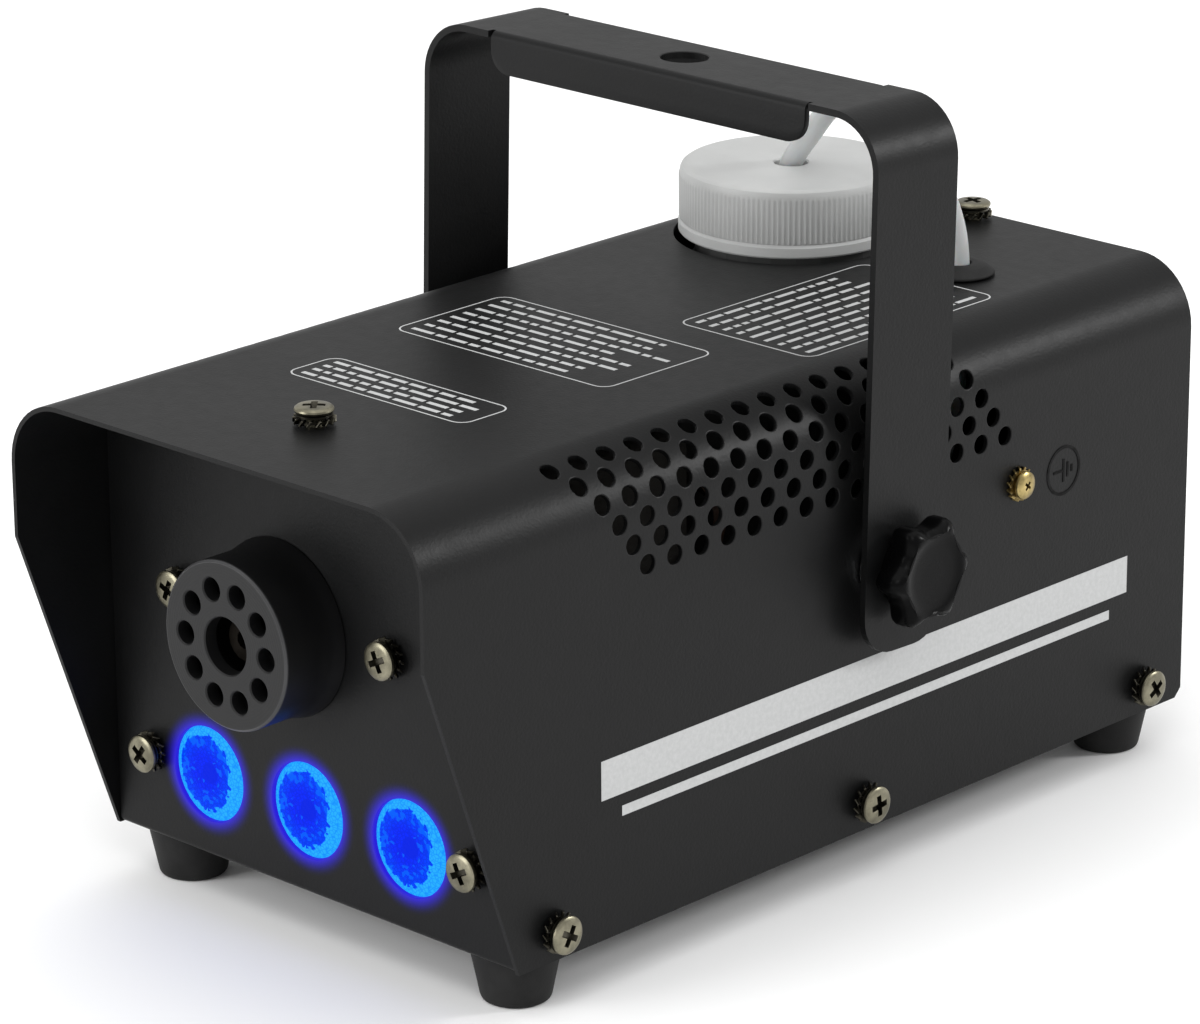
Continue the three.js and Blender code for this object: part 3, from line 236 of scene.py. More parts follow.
def powder_coat(name, colour, roughness=0.43, lamps=()):
    """Satin powder coat: orange peel, faint clouding, and a painted glow round lit lamps, standing for their
    spilt light.
    """
    made = Finish(name, Specular_IOR_Level=0.16, Emission_Strength=1.0 if lamps else 0.0)
    peel = made.noise(1500, 3.0, 0.6)
    pimple = made.cells(1150)
    cloud = made.noise(22, 4.0, 0.6)
    fine = made.noise(310, 3.0, 0.5)
    tint = made.mix(cloud.ramp(0.35, 0.7), shade(colour, 0.86), shade(colour, 1.22))
    rough = roughness + (cloud - 0.5) * 0.10 + (fine - 0.5) * 0.08
    height = peel * 0.7 + pimple * 0.3
    if lamps:
        # Emission painted round each lamp: a painted glow of the lamps' light on the panel.
        painted_lamp_glow = 1 - lamp_radius(made, lamps)[0].ramp(0.0090, 0.0150)
        made.feed(Emission_Color=made.mix(painted_lamp_glow**2.2, (0, 0, 0), (0.030, 0.010, 0.95)))
    return made.feed(Base_Color=tint, Roughness=rough, Normal=made.bump(height, 0.42, 0.00012))


def lamp_radius(made, lamps):
    """Distance from the nearest lamp's axis, and the offsets across and up from it."""
    pitch = lamps[1].x - lamps[0].x
    across = made.axis("X") - lamps[0].x
    across = across - (across / pitch).whole().most(0.0).least(len(lamps) - 1.0) * pitch
    up = made.axis("Z") - lamps[0].z
    return (across * across + up * up) ** 0.5, across, up


def moulded_black(name, grain=900, roughness=0.5, colour=(0.0035, 0.0035, 0.0037), gloss=0.12):
    """Black moulded plastic: spark-eroded grain with a slightly polished rub."""
    made = Finish(name, Specular_IOR_Level=gloss)
    grains = made.cells(grain)
    cloud = made.noise(60, 4.0, 0.6)
    tint = made.mix(cloud, shade(colour, 0.75), shade(colour, 1.35))
    rough = roughness + (cloud - 0.5) * 0.16
    height = grains * 0.6 + made.noise(grain * 1.7, 2.0) * 0.4
    return made.feed(Base_Color=tint, Roughness=rough, Normal=made.bump(height, 0.14, 0.00008))


def turned_black(name, centre, roughness=0.42):
    """Black heat-proof plastic with fine turning rings on its face and a paler, glossier rim that is a
    painted highlight.
    """
    colour = (0.0045, 0.0045, 0.0048)
    made = Finish(name, Specular_IOR_Level=0.28)
    across = made.axis("X") - centre.x
    up = made.axis("Z") - centre.z
    radius = (across * across + up * up) ** 0.5
    rings = (radius * 9500).wave() * 0.5 + 0.5
    cloud = made.noise(70, 4.0, 0.6)
    tint = made.mix(cloud, shade(colour, 0.8), shade(colour, 1.3))
    front = 1 - (made.axis("Y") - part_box("nozzle")[0].y).ramp(0.0002, 0.0009)
    # The paler ring at the face's rim is a painted highlight.
    painted_rim_highlight = front * radius.ramp(0.0173, 0.0176) * (0.4 + cloud * 0.6)
    tint = made.mix(painted_rim_highlight, tint, (0.06, 0.06, 0.062))
    rough = roughness + (cloud - 0.5) * 0.14 + rings * 0.04 - painted_rim_highlight * 0.12
    height = rings * 0.5 + made.noise(1600, 3.0) * 0.5
    return made.feed(Base_Color=tint, Roughness=rough, Normal=made.bump(height, 0.22, 0.00008))


def black_rubber(name):
    """Dull moulded rubber, greyer where it has been handled."""
    made = Finish(name, Specular_IOR_Level=0.25)
    cloud = made.noise(130, 5.0, 0.65)
    speck = made.noise(2100, 3.0, 0.7)
    tint = made.mix(cloud.ramp(0.4, 0.75), (0.0050, 0.0050, 0.0050), (0.012, 0.012, 0.0118))
    rough = 0.66 + (cloud - 0.5) * 0.16
    return made.feed(Base_Color=tint, Roughness=rough, Normal=made.bump(speck, 0.3, 0.00012))


def plated(name, colour, roughness=0.27, scratch=0.35):
    """Plated metal: hairline scratches, cloudy tarnish and darker specks in the hollows."""
    made = Finish(name, Metallic=1.0)
    lines = made.noise(700, 4.0, 0.6, stretch=(1.0, 9.0, 1.0))
    cloud = made.noise(240, 5.0, 0.6)
    speck = made.noise(1300, 4.0, 0.7).ramp(0.62, 0.75)
    tint = made.mix(cloud.ramp(0.3, 0.75), shade(colour, 0.6), shade(colour, 1.3))
    tint = made.mix(speck * 0.6, tint, shade(colour, 0.34))
    rough = roughness + (cloud - 0.5) * 0.2 + speck * 0.2
    return made.feed(Base_Color=tint, Roughness=rough, Normal=made.bump(lines, scratch * 0.4, 0.00005))


def cap_plastic(name, colour):
    """White polyethylene: soft, slightly waxy, with faint moulding clouds."""
    made = Finish(
        name, Subsurface_Weight=0.18, Subsurface_Scale=0.004, Subsurface_Radius=(1.0, 0.95, 0.9),
        Specular_IOR_Level=0.42,
    )
    cloud = made.noise(55, 4.0, 0.6)
    fine = made.noise(900, 3.0, 0.6)
    tint = made.mix(cloud.ramp(0.3, 0.8), shade(colour, 0.93), shade(colour, 1.05))
    rough = 0.46 + (cloud - 0.5) * 0.14
    return made.feed(Base_Color=tint, Roughness=rough, Normal=made.bump(fine, 0.15, 0.0001))


def hose_plastic(name):
    """Milky clear hose, cloudier in patches."""
    made = Finish(name, Transmission_Weight=0.45, IOR=1.42, Subsurface_Weight=0.15, Subsurface_Scale=0.002)
    cloud = made.noise(120, 4.0, 0.6)
    tint = made.mix(cloud, (0.56, 0.58, 0.58), (0.72, 0.735, 0.735))
    rough = 0.24 + cloud * 0.16
    return made.feed(Base_Color=tint, Roughness=rough, Normal=made.bump(made.noise(800, 3.0), 0.1, 0.0001))


def lamp_lens(name, lamps, colour):
    """Lit lens: dimpled, deep blue with a darker core, and a paler ragged border, widest on one side."""
    made = Finish(name, Roughness=0.3, Specular_IOR_Level=0.02, Emission_Strength=1.0)
    radius, across, up = lamp_radius(made, lamps)
    flat = made.node("ShaderNodeCombineXYZ", {}, (across, up * 1.15, 0.0))
    dimples = made.cells(1050, point=flat)
    walls = made.cells(1050, point=flat, feature="DISTANCE_TO_EDGE")
    ragged = made.cells(900, output="Color", point=flat)
    patch = made.axis("X", point=ragged)
    broad = made.noise(260, 3.0, 0.6, point=flat)
    shifted = (((across + 0.0017) * 1.06) ** 2.0 + up**2.0) ** 0.5
    border = (shifted + (patch - 0.5) * 0.0012 + (broad - 0.5) * 0.0030).ramp(0.0080, 0.0084)
    border = border.most(radius.ramp(0.0090, 0.0094))
    outward = shifted.ramp(0.0030, 0.0082)
    deep = made.mix(outward, shade(colour, 0.98), (0.0, 0.062, 1.0))
    deep = made.mix((1 - walls.ramp(0.02, 0.20)) * 0.35, deep, shade(colour, 0.55))
    deep = made.mix((patch + outward * 0.34).ramp(0.93, 0.97) * 0.6, deep, (0.0, 0.16, 1.0))
    deep = made.mix(1 - radius.ramp(0.0020, 0.0026), deep, shade(colour, 0.80))
    pale = made.mix(walls.ramp(0.0, 0.15), (0.008, 0.26, 0.95), (0.022, 0.42, 1.0))
    glow = made.mix(border, deep, pale)
    base = made.mix(border, (0.0, 0.0, 0.02), (0.0, 0.02, 0.12))
    return made.feed(Base_Color=base, Emission_Color=glow, Normal=made.bump(dimples, 0.3, 0.0002))


def printed_ink(name, colour):
    """Screen-printed ink, thin in places."""
    made = Finish(name, Specular_IOR_Level=0.4)
    thin = made.noise(900, 4.0, 0.7).ramp(0.3, 0.72)
    tint = made.mix(thin, shade(colour, 0.93), shade(colour, 1.05))
    rough = 0.5 + thin * 0.1
    return made.feed(Base_Color=tint, Roughness=rough, Normal=made.bump(thin, 0.15, 0.00004))


def embossed_black(name):
    """Painted shade of a mark pressed into the paint: a deeper black on strokes laid over it."""
    made = Finish(name, Specular_IOR_Level=0.08)
    cloud = made.noise(400, 4.0, 0.6)
    # Near-black strokes stand for the shade in the mark's grooves: painted shade.
    tint = made.mix(cloud.ramp(0.35, 0.7), (0.0008, 0.0008, 0.0008), (0.009, 0.009, 0.0092))
    return made.feed(Base_Color=tint, Roughness=0.5 + cloud * 0.15, Normal=made.bump(cloud, 0.1, 0.00005))


def cloth_wrap(name):
    """Felted heat wrap: tangled fibres, darkened to near black as painted shade inside the casing."""
    made = Finish(name, Specular_IOR_Level=0.2)
    fibre = made.noise(900, 6.0, 0.7, stretch=(1.0, 0.25, 1.0))
    cloud = made.noise(90, 5.0, 0.6)
    # Dark colours stand for the shade inside the casing: painted shade.
    tint = made.mix(cloud, (0.035, 0.033, 0.030), (0.07, 0.066, 0.06))
    return made.feed(Base_Color=tint, Roughness=0.86 + fibre * 0.1, Normal=made.bump(fibre, 0.7, 0.0006))


def circuit_board(name):
    """Green solder mask with copper tracks that show through as paler lines."""
    made = Finish(name, Specular_IOR_Level=0.5)
    tracks = made.cells(260, feature="DISTANCE_TO_EDGE").ramp(0.03, 0.08)
    cloud = made.noise(200, 4.0, 0.6)
    # Darker green than the board's own, as painted shade inside the casing.
    tint = made.mix(tracks, (0.012, 0.09, 0.03), (0.005, 0.04, 0.014))
    return made.feed(Base_Color=tint, Roughness=0.3 + cloud * 0.2, Normal=made.bump(tracks, 0.3, 0.00008))


def bottle_plastic(name):
    """Polyethylene bottle, dark as painted shade inside the casing, its neck under the cap hole a little
    paler than its body.
    """
    made = Finish(name, Specular_IOR_Level=0.3)
    cloud = made.noise(60, 4.0, 0.6)
    body = made.mix(cloud, (0.016, 0.0165, 0.016), (0.03, 0.031, 0.03))
    neck = made.mix(cloud, (0.05, 0.051, 0.05), (0.08, 0.081, 0.08))
    # Painted shade: darker below, inside the casing, and paler just under the top at the neck.
    tint = made.mix(made.axis("Z").ramp(TOP_Z - 0.004, TOP_Z - 0.001), body, neck)
    return made.feed(Base_Color=tint, Roughness=0.38 + cloud * 0.12, Normal=made.bump(cloud, 0.2, 0.0004))


def fuse_glass(name):
    """Clear glass with a faint smear."""
    made = Finish(name, Transmission_Weight=0.7, IOR=1.5)
    smear = made.noise(500, 4.0, 0.6)
    tint = made.mix(smear, (0.72, 0.76, 0.75), (0.88, 0.91, 0.90))
    return made.feed(Base_Color=tint, Roughness=0.05 + smear * 0.12)


FINISHES = {}


# ---------- mesh tools ----------


def add_piece(name, mesh, node, finish=None, body="machine", sharp=None, at=None):
    """Adds a finished mesh as a piece that rides on a body and stands for a CAD node, if it names one."""
    mesh.name = name
    piece = bpy.data.objects.new(name, mesh)
    bpy.context.scene.collection.objects.link(piece)
    if at is not None:
        piece.matrix_world = at
    if finish:
        mesh.materials.append(FINISHES[finish])
    if sharp is not None:
        smooth_by_angle(mesh, sharp)
    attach(piece, body)
    if node:
        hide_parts(node)
    return piece


def smooth_by_angle(mesh, degrees):
    for polygon in mesh.polygons:
        polygon.use_smooth = True
    mesh.set_sharp_from_angle(angle=math.radians(degrees))


def mesh_from(bm):
    """Closes a mesh in hand: joins its doubled points and turns its faces outwards."""
    bmesh.ops.remove_doubles(bm, verts=bm.verts, dist=1e-7)
    bmesh.ops.recalc_face_normals(bm, faces=bm.faces)
    mesh = bpy.data.meshes.new("piece")
    bm.to_mesh(mesh)
    bm.free()
    return mesh


def join_rings(bm, rings):
    """Quads between each closed ring of vertices and the next one."""
    for first, second in zip(rings, rings[1:]):
        for i in range(len(first)):
            j = (i + 1) % len(first)
            bm.faces.new((first[i], first[j], second[j], second[i]))


def prism(outline, low, high, upper=None):
    """A solid along Z between an outline and the same, or another, outline above it."""
    bm = bmesh.new()
    levels = ((outline, low), (upper or outline, high))
    rings = [[bm.verts.new((x, y, z)) for x, y in points] for points, z in levels]
    bm.faces.new(rings[0][::-1])
    bm.faces.new(rings[1])
    join_rings(bm, rings)
    return bm


def ribbed(stations, around, depth_at):
    """Turns (radius, station, share) rows about Z. Point i stands back by its row's share of depth_at(i)."""
    bm = bmesh.new()
    rings = []
    for radius, station, share in stations:
        ring = []
        for i in range(around):
            angle = 2 * math.pi * i / around
            reach = radius - share * depth_at(i)
            ring.append(bm.verts.new((reach * math.cos(angle), reach * math.sin(angle), station)))
        rings.append(ring)
    join_rings(bm, rings)
    return bm, rings


def lathe(profile, segments=64, axis="Z", centre=(0, 0, 0)):
    """Turns (radius, station) pairs in metres about an axis. A radius of 0 closes the surface."""
    bm = bmesh.new()
    rings = []
    for radius, station in profile:
        ring = circle(0, 0, radius, segments) if radius else [(0, 0)]
        rings.append([bm.verts.new((x, y, station)) for x, y in ring])
    for low, high in zip(rings, rings[1:]):
        if len(low) == len(high):
            join_rings(bm, (high, low))
            continue
        ring, point = (high, low[0]) if len(low) == 1 else (low[::-1], high[0])
        for i in range(segments):
            bm.faces.new((ring[i], ring[(i + 1) % segments], point))
    place(bm, axis, centre)
    return bm


def place(bm, axis, centre):
    """Turns what stands along Z so that it stands along another axis, and moves it to its centre."""
    turns = {
        "Z": Matrix.Identity(3),
        "X": Matrix.Rotation(math.pi / 2, 3, "Y"),
        "-X": Matrix.Rotation(-math.pi / 2, 3, "Y"),
        "Y": Matrix.Rotation(-math.pi / 2, 3, "X"),
    }
    bmesh.ops.rotate(bm, cent=(0, 0, 0), matrix=turns[axis], verts=bm.verts)
    bmesh.ops.translate(bm, vec=Vector(centre), verts=bm.verts)


def rounded(corners, radius, steps=5):
    """Rounds the inner corners of an open (radius, station) profile."""
    made = [corners[0]]
    for before, corner, after in zip(corners, corners[1:], corners[2:]):
        here = Vector(corner)
        to_before = Vector(before) - here
        to_after = Vector(after) - here
        reach = min(radius, 0.45 * to_before.length, 0.45 * to_after.length)
        start = here + to_before.normalized() * reach
        end = here + to_after.normalized() * reach
        for step in range(steps + 1):
            share = step / steps
            point = start * (1 - share) ** 2 + here * 2 * share * (1 - share) + end * share**2
            made.append((point.x, point.y))
    made.append(corners[-1])
    return made


def arc(cx, cy, radius, start, end, steps):
    """Points from one angle in degrees to another."""
    angles = [math.radians(start + (end - start) * step / steps) for step in range(steps + 1)]
    return [(cx + radius * math.cos(angle), cy + radius * math.sin(angle)) for angle in angles]


def circle(cx, cy, radius, count):
    angles = [2 * math.pi * i / count for i in range(count)]
    return [(cx + radius * math.cos(angle), cy + radius * math.sin(angle)) for angle in angles]


def rounded_rectangle(half_w, half_h, radius, steps=6, cx=0.0, cy=0.0):
    points = []
    for sx, sy, start in ((1, -1, -90), (1, 1, 0), (-1, 1, 90), (-1, -1, 180)):
        x, y = cx + sx * (half_w - radius), cy + sy * (half_h - radius)
        points += arc(x, y, radius, start, start + 90, steps)
    return points


def inside(point, loop):
    x, y = point
    hit = False
    for (x0, y0), (x1, y1) in zip(loop, loop[1:] + loop[:1]):
        if (y0 > y) != (y1 > y) and x < (x1 - x0) * (y - y0) / (y1 - y0) + x0:
            hit = not hit
    return hit


def flat_sheet(outline, holes, lines=(), rim=0.0, rim_drop=0.0):
    """Triangulates a flat pattern with holes. lines are cut through it, for bends.
    Each hole gets a rim ring, whose inner edge is marked to be dropped a little, as a punch leaves it."""
    points, edges, drops = [], [], {}

    def add_loop(loop, drop=0.0):
        start = len(points)
        for point in loop:
            drops[len(points)] = drop
            points.append(Vector(point))
        edges.extend((start + i, start + (i + 1) % len(loop)) for i in range(len(loop)))

    add_loop(outline)
    for hole in holes:
        add_loop(hole, rim_drop)
        centre = sum((Vector(p) for p in hole), Vector((0, 0))) / len(hole)
        add_loop([tuple(Vector(p) + (Vector(p) - centre).normalized() * rim) for p in hole])
    for line in lines:
        edges.append((len(points), len(points) + 1))
        points.extend(Vector(end) for end in line)
    made_points, _, triangles, sources = delaunay_2d_cdt(points, edges, [], 0, 1e-7)[:4]
    boxes = [(*map(min, zip(*hole)), *map(max, zip(*hole)), hole) for hole in holes]
    kept = []
    for triangle in triangles:
        spot = sum((made_points[i] for i in triangle), Vector((0, 0))) / 3
        in_hole = any(a < spot.x < c and b < spot.y < d and inside(spot, hole) for a, b, c, d, hole in boxes)
        if inside(spot, outline) and not in_hole:
            kept.append(triangle)
    drop_of = [max((drops.get(s, 0.0) for s in source), default=0.0) for source in sources]
    return made_points, kept, drop_of


def bent_sheet(pattern, bend, thickness):
    """Bends a flat pattern with bend(u, v) -> (point, normal), and gives it thickness below that skin."""
    bm = bmesh.new()
    outer, inner = [], []
    points, triangles, drops = pattern
    for point, drop in zip(points, drops):
        place_at, normal = bend(point.x, point.y)
        outer.append(bm.verts.new(place_at - normal * drop))
        inner.append(bm.verts.new(place_at - normal * thickness))
    sides = {}
    for a, b, c in triangles:
        bm.faces.new((outer[a], outer[b], outer[c]))
        bm.faces.new((inner[c], inner[b], inner[a]))
        sides.update(dict.fromkeys(((a, b), (b, c), (c, a))))
    for a, b in sides:
        if (b, a) not in sides:
            bm.faces.new((outer[b], outer[a], inner[a], inner[b]))
    bmesh.ops.delete(bm, geom=[v for v in bm.verts if not v.link_faces], context="VERTS")
    mesh = bpy.data.meshes.new("sheet")
    bm.to_mesh(mesh)
    bm.free()
    return mesh


def skin_normals(mesh, normal_at, within=32):
    """Gives face corners the bent skin's own normals, so that long triangles don't show."""
    for polygon in mesh.polygons:
        polygon.use_smooth = True
    mesh.set_sharp_from_angle(angle=math.radians(40))
    limit = math.cos(math.radians(within))
    base = [Vector(c.vector) for c in mesh.corner_normals]
    normals = []
    for polygon in mesh.polygons:
        for corner in polygon.loop_indices:
            point = mesh.vertices[mesh.loops[corner].vertex_index].co
            true = normal_at(point)
            turn = polygon.normal.dot(true)
            if turn > limit:
                normals.append(base[corner] if turn < 0.985 else true)
            elif turn < -limit:
                normals.append(-true)
            else:
                normals.append(polygon.normal)
    mesh.normals_split_custom_set(normals)


def join_meshes(meshes):
    bm = bmesh.new()
    for mesh in meshes:
        bm.from_mesh(mesh)
    made = bpy.data.meshes.new("joined")
    bm.to_mesh(made)
    bm.free()
    return made


def bevelled(bm, width, segments=2, angle=40):
    """Rounds the sharp edges of a mesh in hand."""
    bmesh.ops.remove_doubles(bm, verts=bm.verts, dist=1e-7)
    bm.normal_update()
    edges = [e for e in bm.edges if e.is_manifold and e.calc_face_angle(0) > math.radians(angle)]
    look = {"profile": 0.5, "affect": "EDGES", "clamp_overlap": True}
    bmesh.ops.bevel(bm, geom=edges, offset=width, segments=segments, **look)
    return bm


def slab(half_w, half_h, radius, low, high, steps=6):
    """A rounded plate that stands along Z."""
    return prism(rounded_rectangle(half_w, half_h, radius, steps), low, high)


def add_bm(target, source):
    """Adds one mesh in hand to another."""
    mesh = bpy.data.meshes.new("part")
    source.to_mesh(mesh)
    source.free()
    target.from_mesh(mesh)
    bpy.data.meshes.remove(mesh)
    return target


def strokes(lines, width, lift, frame_point, thickness=0.00003):
    """Thin printed strokes. Each line is a list of (u, v) points, closed or open, that frame_point maps
    to space."""
    bm = bmesh.new()
    for points, closed in lines:
        count = len(points)
        rows = []
        for i in range(count):
            here = Vector(points[i])
            before = Vector(points[i - 1]) if i or closed else here
            after = Vector(points[(i + 1) % count]) if i < count - 1 or closed else here
            along = (after - before).normalized()
            across = Vector((-along.y, along.x)) * (width / 2)
            corners = [(p, h) for h in (lift, lift + thickness) for p in (here + across, here - across)]
            rows.append([bm.verts.new(frame_point(p.x, p.y, h)) for p, h in corners])
        for i in range(count if closed else count - 1):
            a, b = rows[i], rows[(i + 1) % count]
            bm.faces.new((a[2], a[3], b[3], b[2]))
            bm.faces.new((a[0], a[2], b[2], b[0]))
            bm.faces.new((a[3], a[1], b[1], b[3]))
        if not closed:
            for row in (rows[0], rows[-1]):
                bm.faces.new((row[0], row[1], row[3], row[2]))
    return bm


# ---------- where things are ----------

# Millimetres from the point where the cap's axis meets the casing's top.
HOSE_ROUTE = [
    (-22.6, 0, 12.8), (-21.9, 0, 16), (-18.9, 0, 20.4), (-15.9, -0.2, 24), (-12.6, -1, 27.6), (-8.5, -3, 31),
    (-3.8, -5.6, 33.5), (1.4, -7.9, 34.6), (6.8, -9, 34.2), (12.6, -8.6, 32.1), (17.7, -6.8, 28.3),
    (21.9, -4.4, 23.2), (24.6, -2.1, 17.2), (26.1, -0.6, 10.6), (26.8, 0, 4.6), (27, 0, -1),
]


def middle(node):
    low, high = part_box(node)
    return (low + high) / 2


CAMERA_ANGLES = (43.791, 18.990, -0.372)  # azimuth, elevation and roll in degrees
CAMERA_AIM_Z = 60
CAMERA_SHIFT = (-5.026, -0.239)  # of the aim, to the right and up in the picture, in millimetres
CAMERA_LENS = 162.2
CAMERA_DISTANCE = 1.1576

SOFTBOXES = (  # name, place, side and watts
    ("ceiling", (-0.1, 0.0, 2.6), 3.6, 44.0),
    ("key", (1.05, -1.0, 1.3), 0.6, 4.0),
    ("left", (-0.8, -2.0, 0.8), 1.2, 30.0),
    ("rim", (1.0, 1.10, 0.74), 0.26, 9.5),
)
LIGHT_AIM = Vector((0, 0, 0.07))
WORLD_STRENGTH = 0.72

SCREW_HOLE = 0.0023
CAP_HOLE = 0.0263
GROMMET_HOLE = 0.0055
BUSH_HOLE = 0.0052
GAP = 0.0003  # between a panel and what is seated on it

CAP_CENTRE = middle("bottle_cap")
LAMPS = [middle(f"led_lens_{where}") for where in ("left", "middle", "right")]


def catmull(points, per_span):
    """A smooth line through points."""
    made = []
    for i in range(len(points) - 1):
        p0 = points[i - 1] if i else points[0] * 2 - points[1]
        p1, p2 = points[i], points[i + 1]
        p3 = points[i + 2] if i + 2 < len(points) else points[-1] * 2 - points[-2]
        for step in range(per_span):
            t = step / per_span
            cubed = (3 * p1 - p0 - 3 * p2 + p3) * t**3
            made.append(0.5 * (2 * p1 + (p2 - p0) * t + (2 * p0 - 5 * p1 + 4 * p2 - p3) * t**2 + cubed))
    made.append(points[-1])
    return made


# ---------- operators ----------


class Camera(bpy.types.Operator):
    """Adds the camera, looking down at the nozzle's end from the right"""

    bl_idname = "fog.camera"
    bl_label = "Camera"

    def execute(self, context):
        azimuth, elevation, roll = (math.radians(a) for a in CAMERA_ANGLES)
        level = Vector((math.sin(azimuth), -math.cos(azimuth), 0))
        away = level * math.cos(elevation) + Vector((0, 0, math.sin(elevation)))
        right = (-away).cross(Vector((0, 0, 1))).normalized()
        up = right.cross(-away).normalized()
        turned_right = right * math.cos(roll) + up * math.sin(roll)
        turned_up = up * math.cos(roll) - right * math.sin(roll)
        aside, above = CAMERA_SHIFT
        target = machine_point(0, 0, CAMERA_AIM_Z) + (turned_right * aside + turned_up * above) * MM
        data = bpy.data.cameras.new("camera")
        data.sensor_width = 36
        data.lens = CAMERA_LENS
        data.clip_start = 0.05
        camera = bpy.data.objects.new("camera", data)
        context.scene.collection.objects.link(camera)
        spin = Matrix((turned_right, turned_up, away)).transposed()
        camera.matrix_world = Matrix.Translation(target + away * CAMERA_DISTANCE) @ spin.to_4x4()
        context.scene.camera = camera
        return {"FINISHED"}


class Hose(bpy.types.Operator):
    """Adds the clear hose that loops from the cap to the grommet"""

    bl_idname = "fog.hose"
    bl_label = "Hose"

    def execute(self, context):
        start = Vector((0, CAP_CENTRE.y, TOP_Z))
        line = catmull([start + Vector(point) * MM for point in HOSE_ROUTE], 6)
        curve = bpy.data.curves.new("clear_hose", "CURVE")
        curve.dimensions = "3D"
        curve.bevel_depth = 0.0025
        curve.bevel_resolution = 8
        curve.use_fill_caps = True
        spline = curve.splines.new("POLY")
        spline.points.add(len(line) - 1)
        for point, place_at in zip(spline.points, line):
            point.co = (*place_at, 1)
        spline.use_smooth = True
        curve.materials.append(FINISHES["hose"])
        hose = bpy.data.objects.new("clear_hose", curve)
        context.scene.collection.objects.link(hose)
        length = sum((b - a).length for a, b in zip(line, line[1:]))
        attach(hose, "machine")
        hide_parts("fluid_hose")
        return {"FINISHED"}


def skin_bend(half_w, top, radius):
    """A skin folded down on both sides: u runs across it from the middle of its top, v along it."""
    flat = half_w - radius
    quarter = radius * math.pi / 2

    def bend(u, v):
        sign = 1 if u >= 0 else -1
        d = abs(u)
        if d <= flat:
            return Vector((u, v, top)), Vector((0, 0, 1))
        if d <= flat + quarter:
            angle = (d - flat) / radius
            normal = Vector((sign * math.sin(angle), 0, math.cos(angle)))
            centre = Vector((sign * flat, v, top - radius))
            return centre + normal * radius, normal
        return Vector((sign * half_w, v, top - radius - (d - flat - quarter))), Vector((sign, 0, 0))

    return bend, flat, quarter


def fold_lines(flat, quarter, low, high):
    """Lines along both rounded folds of a skin, so that they bend smoothly."""
    levels = [sign * (flat + quarter * step / 12) for sign in (-1, 1) for step in range(13)]
    return [((u, low), (u, high)) for u in levels]


def skin_normal_at(half_w, top, radius):
    """The skin's normal at any point on or just under it."""

    def normal_at(point):
        across = abs(point.x) - (half_w - radius)
        above = point.z - (top - radius)
        sign = 1 if point.x >= 0 else -1
        if across <= 0:
            return Vector((0, 0, 1))
        if above <= 0:
            return Vector((sign, 0, 0))
        return Vector((sign * across, 0, above)).normalized()

    return normal_at


class UpperCover(bpy.types.Operator):
    """Adds the folded cover with its round vents, hood and holes"""

    bl_idname = "fog.upper_cover"
    bl_label = "Upper cover"

    def execute(self, context):
        sizes = context.scene.fog_casing
        radius = sizes.edge_radius
        bend, flat, quarter = skin_bend(HALF_W, TOP_Z, radius)
        shoulder = flat + quarter
        reach = shoulder + TOP_Z - FOOT_H - radius
        low_y, high_y = COVER_LOW.y, COVER_HIGH.y
        hood_z, hood_depth = 0.0706, 0.0248
        lip = reach - hood_z
        cut = 0.002
        outline = [
            (-reach, low_y + hood_depth), (-lip, low_y), (lip, low_y), (reach, low_y + hood_depth),
            (reach, high_y - cut), (reach - cut, high_y), (-reach + cut, high_y), (-reach, high_y - cut),
        ]
        holes = self.vents(sizes.vent / 2, shoulder - 0.0029)
        holes.append(circle(CAP_CENTRE.x, CAP_CENTRE.y, CAP_HOLE, 72))
        grommet = middle("hose_grommet")
        holes.append(circle(grommet.x, grommet.y, GROMMET_HOLE, 32))
        on_sides = [(node, SCREW_HOLE, 16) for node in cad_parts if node.startswith("side_screw")]
        on_sides.append(("earth_screw", SCREW_HOLE, 16))
        on_sides += [(f"pivot_bush_{side}", BUSH_HOLE, 24) for side in ("left", "right")]
        for node, hole, count in on_sides:
            at = middle(node)
            holes.append(circle(math.copysign(shoulder + (TOP_Z - radius - at.z), at.x), at.y, hole, count))
        lines = fold_lines(flat, quarter, low_y, high_y)
        mesh = bent_sheet(flat_sheet(outline, holes, lines, 0.00022, 0.00012), bend, sizes.sheet)
        skin_normals(mesh, skin_normal_at(HALF_W, TOP_Z, radius))
        add_piece("upper_cover_sheet", mesh, "upper_cover", "paint")
        return {"FINISHED"}

    def vents(self, hole_radius, start):
        """Six rows of fifteen on each side, each row half a pitch further back than the one above."""
        rows, columns, pitch, row_pitch = 6, 15, 0.00793, 0.0051
        holes = []
        for row in range(rows):
            stagger = row - (rows - 1) / 2
            u = start + stagger * row_pitch
            for column in range(columns):
                y = COVER_MID_Y - 0.0106 + pitch * (column - (columns - 1) / 2 + stagger / 2)
                holes.append(circle(u, y, hole_radius, 20))
                holes.append(circle(-u, y, hole_radius, 20))
        return holes


